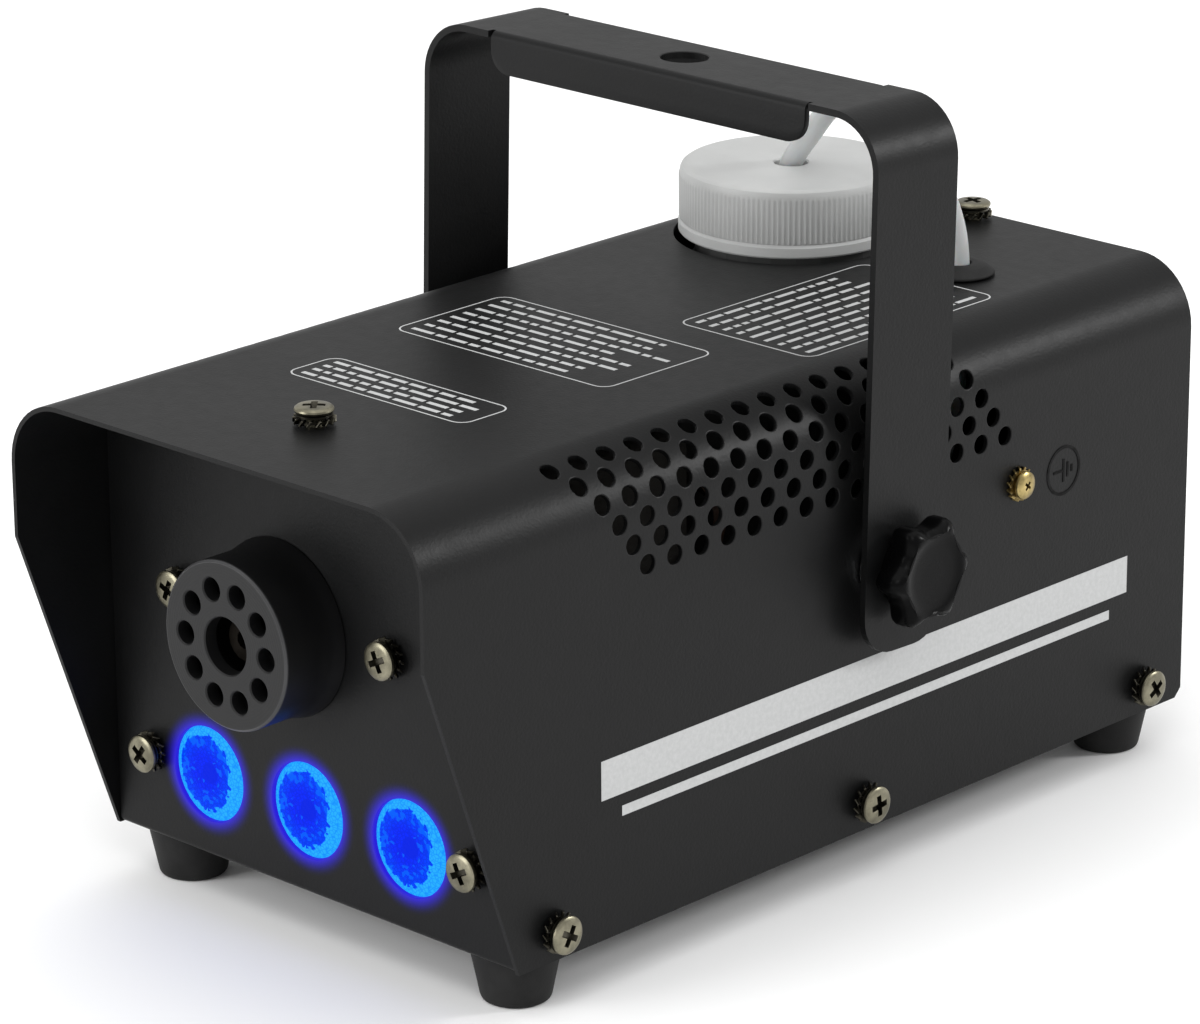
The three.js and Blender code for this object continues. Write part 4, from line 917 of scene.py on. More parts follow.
class ChassisTray(bpy.types.Operator):
    """Adds the tray: front and rear panels with their holes, floor and side flanges"""

    bl_idname = "fog.chassis_tray"
    bl_label = "Chassis tray"

    def execute(self, context):
        sheet = context.scene.fog_casing.sheet
        low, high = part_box("chassis_tray")
        radius = context.scene.fog_casing.edge_radius - sheet - GAP
        fold = 0.0012
        outline, lines = self.panel_pattern(low, high, radius, fold)
        front_holes = [circle(lamp.x, lamp.z, 0.0104, 64) for lamp in LAMPS]
        nozzle = middle("nozzle")
        front_holes.append(circle(nozzle.x, nozzle.z, 0.0065, 32))
        rear_holes = []
        for node, hole in (("mains_gland", 0.0063), ("remote_socket", 0.0063), ("fuse_holder", 0.0053)):
            at = middle(node)
            rear_holes.append(circle(at.x, at.z, hole, 32))
        switch = middle("switch_housing")
        rear_holes.append(rounded_rectangle(0.0100, 0.0070, 0.001, 3, switch.x, switch.z))
        for name, y, outwards, holes in (("front", low.y, -1, front_holes), ("rear", high.y, 1, rear_holes)):
            bend, normal_at = self.panel_bend(y, outwards, low.z, fold)
            mesh = bent_sheet(flat_sheet(outline, holes, lines, 0.0002, 0.0002), bend, sheet)
            skin_normals(mesh, normal_at)
            look = "panel" if name == "front" else "paint"
            add_piece(f"{name}_panel_sheet", mesh, "chassis_tray", look)
        floor = join_meshes([self.channel(low, high, sheet, fold), self.tongue(high, sheet)])
        add_piece("chassis_tray_sheet", floor, "chassis_tray", "paint", sharp=24)
        return {"FINISHED"}

    def panel_bend(self, y, outwards, foot_z, fold):
        """A panel stands at y and turns under at its foot."""

        def bend(x, v):
            turn = (foot_z + fold - v) / fold
            if turn <= 0:
                return Vector((x, y, v)), Vector((0, outwards, 0))
            over = max(turn - math.pi / 2, 0) * fold
            turn = min(turn, math.pi / 2)
            normal = Vector((0, outwards * math.cos(turn), -math.sin(turn)))
            centre = Vector((x, y - outwards * (fold + over), foot_z + fold))
            return centre + normal * fold, normal

        def normal_at(point):
            below = foot_z + fold - point.z
            past = max((point.y - (y - outwards * fold)) * outwards, 0)
            if below <= 0:
                return Vector((0, outwards, 0))
            return Vector((0, outwards * past, -below)).normalized()

        return bend, normal_at

    def panel_pattern(self, low, high, radius, fold):
        """A panel's outline, round at its upper corners, and the lines along its fold."""
        half = high.x
        crown = low.z + fold
        foot = crown - fold * math.pi / 2 - 0.0004
        corner = arc(half - radius, high.z - radius, radius, 0, 90, 12)
        points = [(-half, foot), (half, foot), *corner, *((-x, z) for x, z in corner[::-1])]
        levels = [crown - fold * math.pi / 2 * step / 6 for step in range(7)]
        return points, [((-half, v), (half, v)) for v in levels]

    def channel(self, low, high, sheet, fold):
        """Floor and side flanges as one folded channel, with a rounded fold on each side."""
        half = high.x
        flange = low.z + 0.0137
        skins = []
        for inset, bend in ((0, fold), (sheet, max(fold - sheet, 0.0001))):
            side = [(-half + inset, flange), *arc(-half + fold, low.z + fold, bend, 180, 270, 6)]
            skins.append(side + [(-x, z) for x, z in side[::-1]])
        outer, inner = skins
        bm = bmesh.new()
        rings = []
        for y in (low.y + fold + 0.0006, high.y - fold - 0.0006):
            rings.append([bm.verts.new((x, y, z)) for x, z in outer + inner[::-1]])
        join_rings(bm, rings)
        for ring in rings:
            for i in range(len(outer) - 1):
                bm.faces.new((ring[i], ring[i + 1], ring[-2 - i], ring[-1 - i]))
        return mesh_from(bm)

    def tongue(self, high, sheet):
        """The two turned-in tabs that the top screws hold."""
        bm = bmesh.new()
        for node, half, inwards in (("top_screw_front", 0.040, 1), ("top_screw_rear", 0.008, -1)):
            tab = slab(half, 0.0045, 0.0015, high.z - sheet, high.z - 0.00005, 4)
            bmesh.ops.translate(tab, vec=(0, middle(node).y + inwards * 0.0007, 0), verts=tab.verts)
            add_bm(bm, bevelled(tab, 0.0002))
        return mesh_from(bm)


class HangingBracket(bpy.types.Operator):
    """Adds the folded bracket with its turned-down lips, rounded legs and bolt hole"""

    bl_idname = "fog.hanging_bracket"
    bl_label = "Hanging bracket"

    def execute(self, context):
        bush = middle("pivot_bush_right")
        pivot = Vector((0, bush.y, bush.z))
        lean = Matrix.Rotation(math.radians(-1.7), 4, "X")
        self.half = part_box("hanging_bracket")[1].x
        self.thick = 0.0015
        self.rise = 0.0975
        self.drop = 0.0178
        self.corner = 0.0122
        self.width = 0.0250
        self.bend, self.flat, self.quarter = skin_bend(self.half, self.rise, self.corner)
        self.reach = self.flat + self.quarter + self.rise - self.corner + self.drop
        lip_half = self.half - 0.0203
        fold = 0.0016
        edge = self.width / 2
        strip = self.strip(lip_half, fold, edge)
        lips = [self.lip(side, lip_half, fold, edge) for side in (-1, 1)]
        for name, mesh in (("strip", strip), ("lips", join_meshes(lips))):
            at = Matrix.Translation(pivot) @ lean
            node = "hanging_bracket"
            add_piece(f"{node}_{name}", mesh, node, "paint", node, at=at)
        return {"FINISHED"}

    def strip(self, lip_half, fold, edge):
        """The bar and both legs, relieved where the lips turn down."""
        inner_edge = edge - fold
        end = 0.009
        notch = lip_half + 0.0009
        outline = []
        for sign in (1, -1):
            x, y = sign * (self.reach - end), sign * (edge - end)
            start = -90 if sign > 0 else 90
            outline += arc(x, -y, end, start, start + 90, 8) + arc(x, y, end, start + 90, start + 180, 8)
            outline += [
                (sign * notch, sign * edge), (sign * notch, sign * inner_edge),
                (-sign * notch, sign * inner_edge), (-sign * notch, sign * edge),
            ]
        leg_hole = self.flat + self.quarter + self.rise - self.corner
        holes = [circle(0, 0, 0.0052, 40), circle(leg_hole, 0, 0.0032, 20), circle(-leg_hole, 0, 0.0032, 20)]
        lines = fold_lines(self.flat, self.quarter, -edge, edge)
        mesh = bent_sheet(flat_sheet(outline, holes, lines, 0.0003, 0.00015), self.bend, self.thick)
        skin_normals(mesh, skin_normal_at(self.half, self.rise, self.corner))
        return mesh

    def lip(self, side, lip_half, fold, edge):
        """One turned-down flange: a quarter-round fold, then a flat web with two round lower corners."""
        depth, corner = 0.0089, 0.005
        stations = [x for x, _ in arc(lip_half - corner, 0, corner, 90, 0, 8)]
        stations = [-x for x in stations[::-1]] + [-0.02, 0.0, 0.02] + stations
        bm = bmesh.new()
        skins = []
        for inset in (0.0, self.thick):
            columns = []
            for x in stations:
                past = max(abs(x) - (lip_half - corner), 0)
                foot = -depth + corner - math.sqrt(max(corner**2 - past**2, 0))
                points = arc(edge - fold, -fold, max(fold - inset, 0.0001), 90, 0, 6)
                points += [(edge - inset, -fold + (foot + fold) * share) for share in (0.33, 0.66, 1.0)]
                columns.append([bm.verts.new((x, side * y, self.rise + z)) for y, z in points])
            skins.append(columns)
        outer, inner = skins
        rows = len(outer[0])
        for skin, flip in ((outer, side > 0), (inner, side < 0)):
            for first, second in zip(skin, skin[1:]):
                for i in range(rows - 1):
                    quad = (first[i], second[i], second[i + 1], first[i + 1])
                    bm.faces.new(quad if flip else quad[::-1])
        for a, b, c, d in zip(outer, outer[1:], inner, inner[1:]):
            bm.faces.new((a[-1], b[-1], d[-1], c[-1]))
            bm.faces.new((a[0], c[0], d[0], b[0]))
        for a, c in ((outer[0], inner[0]), (outer[-1], inner[-1])):
            for i in range(rows - 1):
                bm.faces.new((a[i], a[i + 1], c[i + 1], c[i]))
        bmesh.ops.recalc_face_normals(bm, faces=bm.faces)
        bevelled(bm, 0.00022, 2, 50)
        mesh = mesh_from(bm)
        smooth_by_angle(mesh, 40)
        return mesh


class StarKnobs(bpy.types.Operator):
    """Adds the two six-lobed clamp knobs with their studs"""

    bl_idname = "fog.star_knobs"
    bl_label = "Star knobs"

    def execute(self, context):
        for side, sign in (("right", 1), ("left", -1)):
            low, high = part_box(f"clamp_knob_{side}")
            centre = (low + high) / 2
            tip = max(abs(low.x), abs(high.x))
            bm = self.star(tip - 0.0080, tip)
            stud_end = min(abs(low.x), abs(high.x))
            stud = [
                (0, stud_end), (0.0022, stud_end), (0.0029, stud_end + 0.0007), (0.0029, tip - 0.006),
                (0, tip - 0.006),
            ]
            add_bm(bm, lathe(stud, 24))
            place(bm, "X" if sign > 0 else "-X", (0, centre.y, centre.z))
            node = f"clamp_knob_{side}"
            add_piece(f"star_knob_{side}", mesh_from(bm), node, "knob", node, 30)
        return {"FINISHED"}

    def star(self, base, tip):
        """Grip with soft lobes: stations run from the hub round the rim to the shallow dish in its face."""
        outer, valley, lobes, around = 0.0121, 0.0027, 6, 144
        hub = 0.0082
        start = base + 0.0014
        stations = [
            (hub, base, 0.0), (hub, start - 0.0002, 0.0), (hub + 0.0004, start, 0.0),
            (outer - 0.0012, start, 1.0), (outer - 0.0004, start + 0.0003, 1.0), (outer, start + 0.0012, 1.0),
            (outer, tip - 0.0026, 1.0), (outer - 0.00025, tip - 0.0016, 1.0),
            (outer - 0.0009, tip - 0.0008, 1.0), (outer - 0.0017, tip - 0.00028, 0.9),
            (outer - 0.0024, tip, 0.5), (0.0089, tip - 0.00001, 0.0),
            (0.0084, tip - 0.0001, 0.0), (0.0079, tip - 0.00025, 0.0), (0.0072, tip - 0.00042, 0.0),
            (0.006, tip - 0.00056, 0.0), (0.003, tip - 0.0006, 0.0),
        ]
        bm, rings = ribbed(
            stations, around,
            lambda i: valley * (1 - (0.5 - 0.5 * math.cos(lobes * 2 * math.pi * i / around)) ** 1.5),
        )
        bm.faces.new(rings[0][::-1])
        bm.faces.new(rings[-1])
        return bm


def pan_head_screw(length, name, earth=False):
    """Low head with a cross recess on a toothed washer, standing along +Z with its seat at 0. The recess
    takes the washer's darker finish as painted shade.
    """
    top = 0.0029 if earth else 0.0042
    reach = 0.0031 if earth else 0.0041
    head = top - 0.0016
    skin = [
        (0.0020, head), (reach - 0.0006, head), (reach - 0.00015, head + 0.0003), (reach, head + 0.0007),
        (reach - 0.0001, head + 0.00105), (reach - 0.00045, head + 0.00132), (reach - 0.0010, head + 0.00145),
        (0.0018, top - 0.00004), (0, top),
    ]
    shank = [(0, -length), (0.0014, -length), (0.0020, -length + 0.0007)]
    body = mesh_from(lathe(shank + skin, 56))
    scale = 0.45 if earth else 1.0
    plus = []
    for half, arm in ((0.00050, 0.0018), (0.00072, 0.0025)):
        corners = [(x * scale, y * scale) for x, y in ((half, half), (half, arm), (-half, arm))]
        outline = []
        for _ in range(4):
            outline += corners
            corners = [(-y, x) for x, y in corners]
        plus.append(outline)
    recess = prism(plus[0], top - 0.0014, top + 0.0004, plus[1])
    turn = Matrix.Rotation(math.radians(22), 3, "Z")
    bmesh.ops.rotate(recess, cent=(0, 0, 0), matrix=turn, verts=recess.verts)
    made = boolean(body, mesh_from(recess), "DIFFERENCE")
    whole = bmesh.new()
    whole.from_mesh(made)
    # Faces down in the cross recess take the second slot, the darker washer finish: painted shade in the
    # recess.
    for face in whole.faces:
        spot = face.calc_center_median()
        face.material_index = int(spot.xy.length < 0.0026 and head < spot.z < top - 0.0003)
    count = len(whole.faces)
    washer = toothed_washer(0.0003, head - 0.0001)
    if earth:
        bmesh.ops.scale(washer, vec=(0.86, 0.86, 1), verts=washer.verts)
    add_bm(whole, washer)
    whole.faces.ensure_lookup_table()
    for face in whole.faces[count:]:
        face.material_index = 1
    final = bpy.data.meshes.new(name)
    whole.to_mesh(final)
    whole.free()
    return final


def toothed_washer(low, high):
    """Lock washer whose outer teeth are twisted steeply, under a plain spring ring."""
    teeth, inner, root, tip = 14, 0.0022, 0.0034, 0.0044
    middle_z = (low + high) / 2 - 0.0002
    bm = bmesh.new()
    for ring, z, half in ((root + 0.0001, middle_z, 0.00025), (root + 0.0003, high - 0.0002, 0.0002)):
        section = [(inner, z - half), (ring, z - half), (ring, z + half), (inner, z + half)]
        add_bm(bm, lathe([*section, section[0]], 56))
    for tooth in range(teeth):
        blade = bmesh.new()
        bmesh.ops.create_cube(blade, size=1)
        bmesh.ops.scale(blade, vec=(tip - root + 0.0003, 0.0016, 0.00045), verts=blade.verts)
        bevelled(blade, 0.0001, 1, 30)
        twist = Matrix.Rotation(math.radians(52), 3, "X")
        bmesh.ops.rotate(blade, cent=(0, 0, 0), matrix=twist, verts=blade.verts)
        bmesh.ops.translate(blade, vec=((root + tip) / 2 - 0.00015, 0, middle_z), verts=blade.verts)
        turn = Matrix.Rotation(2 * math.pi * tooth / teeth, 3, "Z")
        bmesh.ops.rotate(blade, cent=(0, 0, 0), matrix=turn, verts=blade.verts)
        add_bm(bm, blade)
    return bm


class Screws(bpy.types.Operator):
    """Adds every pan-head screw with its toothed washer, and the brass earth screw"""

    bl_idname = "fog.screws"
    bl_label = "Screws"

    def execute(self, context):
        turn_of = {
            "front": Matrix.Rotation(math.pi / 2, 4, "X"),
            "side_right": Matrix.Rotation(math.pi / 2, 4, "Y"),
            "side_left": Matrix.Rotation(-math.pi / 2, 4, "Y"),
            "top": Matrix.Identity(4),
            "foot": Matrix.Rotation(math.pi, 4, "X"),
        }
        spin = random.Random(7)
        short = pan_head_screw(0.0050, "pan_head_screw")
        long = pan_head_screw(0.0073, "foot_screw")
        brass = pan_head_screw(0.0050, "earth_screw", earth=True)
        # The second finish serves the washer's own colour and the painted shade in the cross recess.
        for mesh, head, hollow in (
            (short, "nickel", "washer"), (long, "nickel", "washer"), (brass, "brass", "brass_dull")
        ):
            smooth_by_angle(mesh, 32)
            mesh.materials.append(FINISHES[head])
            mesh.materials.append(FINISHES[hollow])
        for node in sorted(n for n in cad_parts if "screw" in n):
            centre = middle(node)
            if node.startswith("front_screw"):
                kind, seat = "front", Vector((centre.x, PANEL_Y, centre.z))
            elif node.startswith("side_screw_right") or node == "earth_screw":
                kind, seat = "side_right", Vector((HALF_W, centre.y, centre.z))
            elif node.startswith("side_screw_left"):
                kind, seat = "side_left", Vector((-HALF_W, centre.y, centre.z))
            elif node.startswith("top_screw"):
                kind, seat = "top", Vector((centre.x, centre.y, TOP_Z))
            else:
                kind, seat = "foot", Vector((centre.x, centre.y, FOOT_H - 0.0063))
            source = brass if node == "earth_screw" else long if kind == "foot" else short
            mesh = source.copy()
            twist = Matrix.Rotation(spin.uniform(0, math.pi / 2), 4, "Z")
            mesh.transform(Matrix.Translation(seat) @ turn_of[kind] @ twist)
            add_piece(f"{node}_detail", mesh, node)
        return {"FINISHED"}


class Nozzle(bpy.types.Operator):
    """Adds the hollow nozzle cap with its mouth, ring of holes and flared foot"""

    bl_idname = "fog.nozzle"
    bl_label = "Nozzle"

    def execute(self, context):
        low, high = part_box("nozzle")
        centre = (low + high) / 2
        face_y, foot_y = low.y, high.y
        radius, flare, wall = 0.01805, 0.0191, 0.0032
        holes = [circle(centre.x, centre.z, 0.0061, 64)]
        holes += [circle(x, z, 0.00245, 32) for x, z in circle(centre.x, centre.z, 0.0119, 10)]
        disc = circle(centre.x, centre.z, radius - 0.0006, 96)
        face = bent_sheet(
            flat_sheet(disc, holes, rim=0.00028, rim_drop=0.00028),
            lambda x, z: (Vector((x, face_y, z)), Vector((0, -1, 0))), wall,
        )
        span = foot_y - face_y
        barrel = lathe(
            [
                (radius - 0.0006, 0), (radius - 0.0005, 0.00001), (radius - 0.0001, 0.0004), (radius, 0.0007),
                (radius, span - 0.0064), (radius + 0.00006, span - 0.0050), (radius + 0.00022, span - 0.0036),
                (radius + 0.0005, span - 0.0022), (radius + 0.0008, span - 0.0010), (flare, span),
                (radius - wall, span), (radius - wall, wall * 0.9), (radius - 0.0006, wall * 0.9),
            ],
            96, "Y", (centre.x, face_y, centre.z),
        )
        mesh = join_meshes([face, mesh_from(barrel)])
        add_piece("nozzle_cap", mesh, "nozzle", "nozzle", sharp=24)
        return {"FINISHED"}


class LampLenses(bpy.types.Operator):
    """Adds the three lit lenses"""

    bl_idname = "fog.lamp_lenses"
    bl_label = "Lamp lenses"

    def execute(self, context):
        for where in ("left", "middle", "right"):
            node = f"led_lens_{where}"
            low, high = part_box(node)
            centre = (low + high) / 2
            face = low.y
            back = high.y - face
            profile = [
                (0, 0.0), (0.003, 0.00001), (0.006, 0.00006), (0.0085, 0.00016), (0.0098, 0.00035),
                (0.0101, 0.0007), (0.0101, back - 0.0016), (0.0114, back - 0.0015), (0.0115, back - 0.0013),
                (0.0115, back - 0.0001), (0.0113, back), (0, back),
            ]
            mesh = mesh_from(lathe(profile, 72, "Y", (centre.x, face, centre.z)))
            add_piece(f"lamp_lens_{where}", mesh, node, "lens", sharp=40)
        return {"FINISHED"}


class Feet(bpy.types.Operator):
    """Adds the four moulded rubber feet"""

    bl_idname = "fog.feet"
    bl_label = "Feet"

    def execute(self, context):
        for node in ("foot_front_left", "foot_front_right", "foot_rear_left", "foot_rear_right"):
            centre = middle(node)
            profile = [
                (0.0023, 0), (0.0052, 0), (0.0052, -0.0047), (0.0054, -0.0050), (0.0063, -0.0050),
                (0.0071, -0.0047), (0.0074, -0.0039), (0.0094, 0.0060), (0.0093, 0.0063), (0.0023, 0.0063),
            ]
            fine = rounded(profile, 0.0004, 3)
            bm = lathe([*fine, fine[0]], 56, "Z", (centre.x, centre.y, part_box(node)[1].z - 0.0063))
            add_piece(f"{node}_moulding", mesh_from(bm), node, "rubber", sharp=40)
        return {"FINISHED"}


class BottleCap(bpy.types.Operator):
    """Adds the ribbed screw cap, with a smooth band above and below its ribs"""

    bl_idname = "fog.bottle_cap"
    bl_label = "Bottle cap"

    def execute(self, context):
        low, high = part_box("bottle_cap")
        height = high.z - low.z
        radius, wall, ribs = 0.0252, 0.0016, 132
        skin = radius - 0.00012
        stations = [
            (0.0039, height - wall, 0), (0.0038, height - 0.0004, 0), (0.0041, height, 0),
            (0.0100, height, 0), (0.0190, height, 0), (radius - 0.0021, height, 0),
            (radius - 0.0013, height - 0.00015, 0),
            (radius - 0.0007, height - 0.0006, 0), (radius - 0.0004, height - 0.0013, 0),
            (radius - 0.0003, height - 0.0021, 0), (skin, height - 0.0025, 1), (skin, 0.0034, 1),
            (radius - 0.00045, 0.0030, 0), (radius - 0.0003, 0.0027, 0), (radius, 0.0024, 0),
            (radius, 0.0004, 0), (radius - 0.0003, 0.0, 0), (radius - wall, 0.0, 0),
            (radius - wall, height - wall, 0), (0.0039, height - wall, 0),
        ]
        bm, _ = ribbed(stations, ribs * 4, lambda i: (0.0, 0.6, 1.0, 0.6)[i % 4] * 0.00024)
        bmesh.ops.translate(bm, vec=(CAP_CENTRE.x, CAP_CENTRE.y, low.z), verts=bm.verts)
        add_piece("ribbed_cap", mesh_from(bm), "bottle_cap", "cap", "bottle_cap", 28)
        return {"FINISHED"}


class Grommet(bpy.types.Operator):
    """Adds the domed rubber grommet that the hose enters"""

    bl_idname = "fog.grommet"
    bl_label = "Grommet"

    def execute(self, context):
        low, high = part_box("hose_grommet")
        centre = (low + high) / 2
        top = high.z - TOP_Z
        under = low.z - TOP_Z
        corners = [
            (0.0028, under), (0.0070, under), (0.0070, -0.0013), (0.0052, -0.0013), (0.0052, 0.0003),
            (0.0080, 0.0003), (0.0080, 0.0009), (0.0062, top - 0.0004), (0.0043, top), (0.0030, top),
            (0.0028, top - 0.0003), (0.0028, under),
        ]
        bm = lathe(rounded(corners, 0.0005, 4), 56, "Z", (centre.x, centre.y, TOP_Z))
        add_piece("grommet_moulding", mesh_from(bm), "hose_grommet", "rubber", sharp=50)
        return {"FINISHED"}


class PivotBushes(bpy.types.Operator):
    """Adds the two shouldered bushes that hold the bracket off the casing"""

    bl_idname = "fog.pivot_bushes"
    bl_label = "Pivot bushes"

    def execute(self, context):
        for side, sign in (("right", 1), ("left", -1)):
            low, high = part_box(f"pivot_bush_{side}")
            centre = (low + high) / 2
            inner, outer = sorted((abs(low.x), abs(high.x)))
            shoulder = HALF_W + GAP
            corners = [
                (0.0032, inner), (0.0047, inner), (0.0050, inner + 0.0004), (0.0050, shoulder),
                (0.0088, shoulder), (0.0090, shoulder + 0.0003), (0.0090, outer - 0.0003), (0.0087, outer),
                (0.0032, outer), (0.0032, inner),
            ]
            bm = lathe(corners, 48)
            place(bm, "X" if sign > 0 else "-X", (0, centre.y, centre.z))
            node = f"pivot_bush_{side}"
            add_piece(f"bush_{side}_turned", mesh_from(bm), node, "steel", sharp=35)
        return {"FINISHED"}


class RearFittings(bpy.types.Operator):
    """Adds the cable gland, remote socket, fuse holder and cap, and the rocker switch"""

    bl_idname = "fog.rear_fittings"
    bl_label = "Rear fittings"

    def execute(self, context):
        self.gland()
        self.socket()
        self.fuse()
        self.switch()
        return {"FINISHED"}

    def gland(self):
        centre = middle("mains_gland")
        low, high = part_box("mains_gland")
        start, end, face = low.y, high.y, REAR_Y + GAP
        rim = face + 0.0005
        sleeve = lathe([(0.0036, start), (0.0060, start), (0.0060, rim), (0.0036, rim), (0.0036, start)], 40)
        nut = prism(circle(0, 0, 0.0079, 6), face, face + 0.004)
        bmesh.ops.recalc_face_normals(nut, faces=nut.faces)
        bevelled(nut, 0.0003, 2, 30)
        stations = [
            (0.0036, face + 0.003, 0), (0.0070, face + 0.0032, 1), (0.0070, face + 0.0078, 1),
            (0.0066, face + 0.0088, 0.6), (0.0058, face + 0.0102, 0), (0.0050, end - 0.0004, 0),
            (0.0046, end, 0), (0.0038, end, 0), (0.0036, end - 0.0003, 0), (0.0036, face + 0.003, 0),
        ]
        dome, _ = ribbed(stations, 96, lambda i: 0.00035 if -i % 8 in (0, 1) else 0.0)
        bm = bmesh.new()
        for part in (sleeve, nut, dome):
            add_bm(bm, part)
        place(bm, "Y", (centre.x, 0, centre.z))
        add_piece("cable_gland", mesh_from(bm), "mains_gland", "plastic", sharp=35)

    def socket(self):
        centre = middle("remote_socket")
        low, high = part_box("remote_socket")
        face, depth = REAR_Y + GAP, REAR_Y - 0.008
        profile = [
            (0.0001, low.y), (0.0060, low.y), (0.0060, face), (0.0080, face), (0.0080, high.y),
            (0.0049, high.y), (0.0046, high.y - 0.0004), (0.0046, depth), (0.0001, depth),
        ]
        body = lathe(rounded(profile, 0.0004, 3), 56, "Y", (centre.x, 0, centre.z))
        pin = [
            (0, REAR_Y - 0.0085), (0.0006, REAR_Y - 0.0085), (0.0006, REAR_Y - 0.002),
            (0.0003, REAR_Y - 0.0014), (0, REAR_Y - 0.0013),
        ]
        for x, z in arc(centre.x, centre.z, 0.0024, 90, 330, 2):
            add_bm(body, lathe(pin, 16, "Y", (x, 0, z)))
        mesh = mesh_from(body)
        add_piece("remote_socket_detail", mesh, "remote_socket", "plastic", sharp=40)

    def fuse(self):
        centre = middle("fuse_holder")
        low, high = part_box("fuse_holder")
        face, depth = REAR_Y + GAP, low.y + 0.002
        profile = [
            (0.0001, low.y), (0.0050, low.y), (0.0050, face), (0.0065, face), (0.0065, high.y),
            (0.0042, high.y), (0.0040, high.y - 0.0003), (0.0040, depth), (0.0001, depth),
        ]
        holder = mesh_from(lathe(rounded(profile, 0.0003, 3), 48, "Y", (centre.x, 0, centre.z)))
        add_piece("fuse_holder_body", holder, "fuse_holder", "plastic", sharp=40)
        low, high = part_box("fuse_cap")
        neck = high.y - 0.0040
        profile = [(0, low.y), (0.0036, low.y), (0.0036, neck), (0.0055, neck), (0.0055, high.y), (0, high.y)]
        cap = lathe(rounded(profile, 0.0004, 4), 48, "Y", (centre.x, 0, centre.z))
        groove = bmesh.new()
        bmesh.ops.create_cube(groove, size=1)
        bmesh.ops.scale(groove, vec=(0.014, 0.0024, 0.0012), verts=groove.verts)
        bmesh.ops.translate(groove, vec=(centre.x, high.y, centre.z), verts=groove.verts)
        mesh = boolean(mesh_from(cap), mesh_from(groove), "DIFFERENCE")
        add_piece("fuse_cap_detail", mesh, "fuse_cap", "plastic", "fuse_cap", 40)

    def switch(self):
        centre = middle("switch_housing")
        low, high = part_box("switch_housing")
        outer = slab(0.0111, 0.0081, 0.0015, REAR_Y + GAP, high.y)
        block = slab(0.0097, 0.0067, 0.0008, low.y, REAR_Y + 0.0008)
        bmesh.ops.recalc_face_normals(outer, faces=outer.faces)
        bevelled(outer, 0.0004, 3, 50)
        well = slab(0.0081, 0.0051, 0.0005, REAR_Y - 0.008, high.y + 0.001)
        shell = boolean(mesh_from(outer), mesh_from(block), "UNION")
        mesh = boolean(shell, mesh_from(well), "DIFFERENCE")
        mesh.transform(Matrix.Translation((centre.x, 0, centre.z)) @ Matrix.Rotation(-math.pi / 2, 4, "X"))
        add_piece("switch_frame", mesh, "switch_housing", "plastic", sharp=35)
        self.rocker(centre.x, centre.z)

    def rocker(self, x, z):
        """A dished key with a ring and a bar for its two states."""
        long, wide = 0.0072, 0.0047

        def dish(across):
            return 0.0026 + 0.001 * abs(across / long) ** 1.6

        profile = [(-0.0025, -0.0025), (0.0025, -0.0025), (long - 0.0007, 0.0014), (long, 0.0036)]
        for step in range(1, 12):
            across = long * (1 - step / 6)
            profile.append((across, dish(across)))
        profile += [(-long, 0.0036), (-long + 0.0007, 0.0014)]
        bm = prism(profile, -wide, wide)
        bmesh.ops.recalc_face_normals(bm, faces=bm.faces)
        bevelled(bm, 0.00035, 3, 45)
        section = [(0.0009, 0), (0.0013, 0), (0.0013, 0.00006), (0.0009, 0.00006), (0.0009, 0)]
        ring, bar = lathe(section, 32), slab(0.0002, 0.0013, 0.0001, 0, 0.00006, 2)
        for centre, mark in ((-0.0046, ring), (0.0046, bar)):
            place(mark, "Y", (centre, 0, 0))
            for vert in mark.verts:
                vert.co.y += dish(vert.co.x) + 0.00002
            for face in mark.faces:
                face.material_index = 1
            add_bm(bm, mark)
        bmesh.ops.rotate(bm, cent=(0, 0, 0), matrix=Matrix.Rotation(math.radians(8), 3, "Z"), verts=bm.verts)
        bmesh.ops.translate(bm, vec=(x, REAR_Y, z), verts=bm.verts)
        mesh = bpy.data.meshes.new("rocker")
        bm.to_mesh(mesh)
        bm.free()
        mesh.materials.append(FINISHES["rocker"])
        mesh.materials.append(FINISHES["ink"])
        add_piece("rocker_key", mesh, "switch_rocker", None, "switch_rocker", 35)


def boolean(first, second, operation):
    """One closed mesh made of two."""
    objects = []
    for mesh in (first, second):
        thing = bpy.data.objects.new("part", mesh)
        bpy.context.scene.collection.objects.link(thing)
        objects.append(thing)
    modifier = objects[0].modifiers.new("join", "BOOLEAN")
    modifier.object = objects[1]
    modifier.operation = operation
    modifier.solver = "EXACT"
    depsgraph = bpy.context.evaluated_depsgraph_get()
    made = bpy.data.meshes.new_from_object(objects[0].evaluated_get(depsgraph))
    for thing in objects:
        bpy.data.objects.remove(thing)
    return made


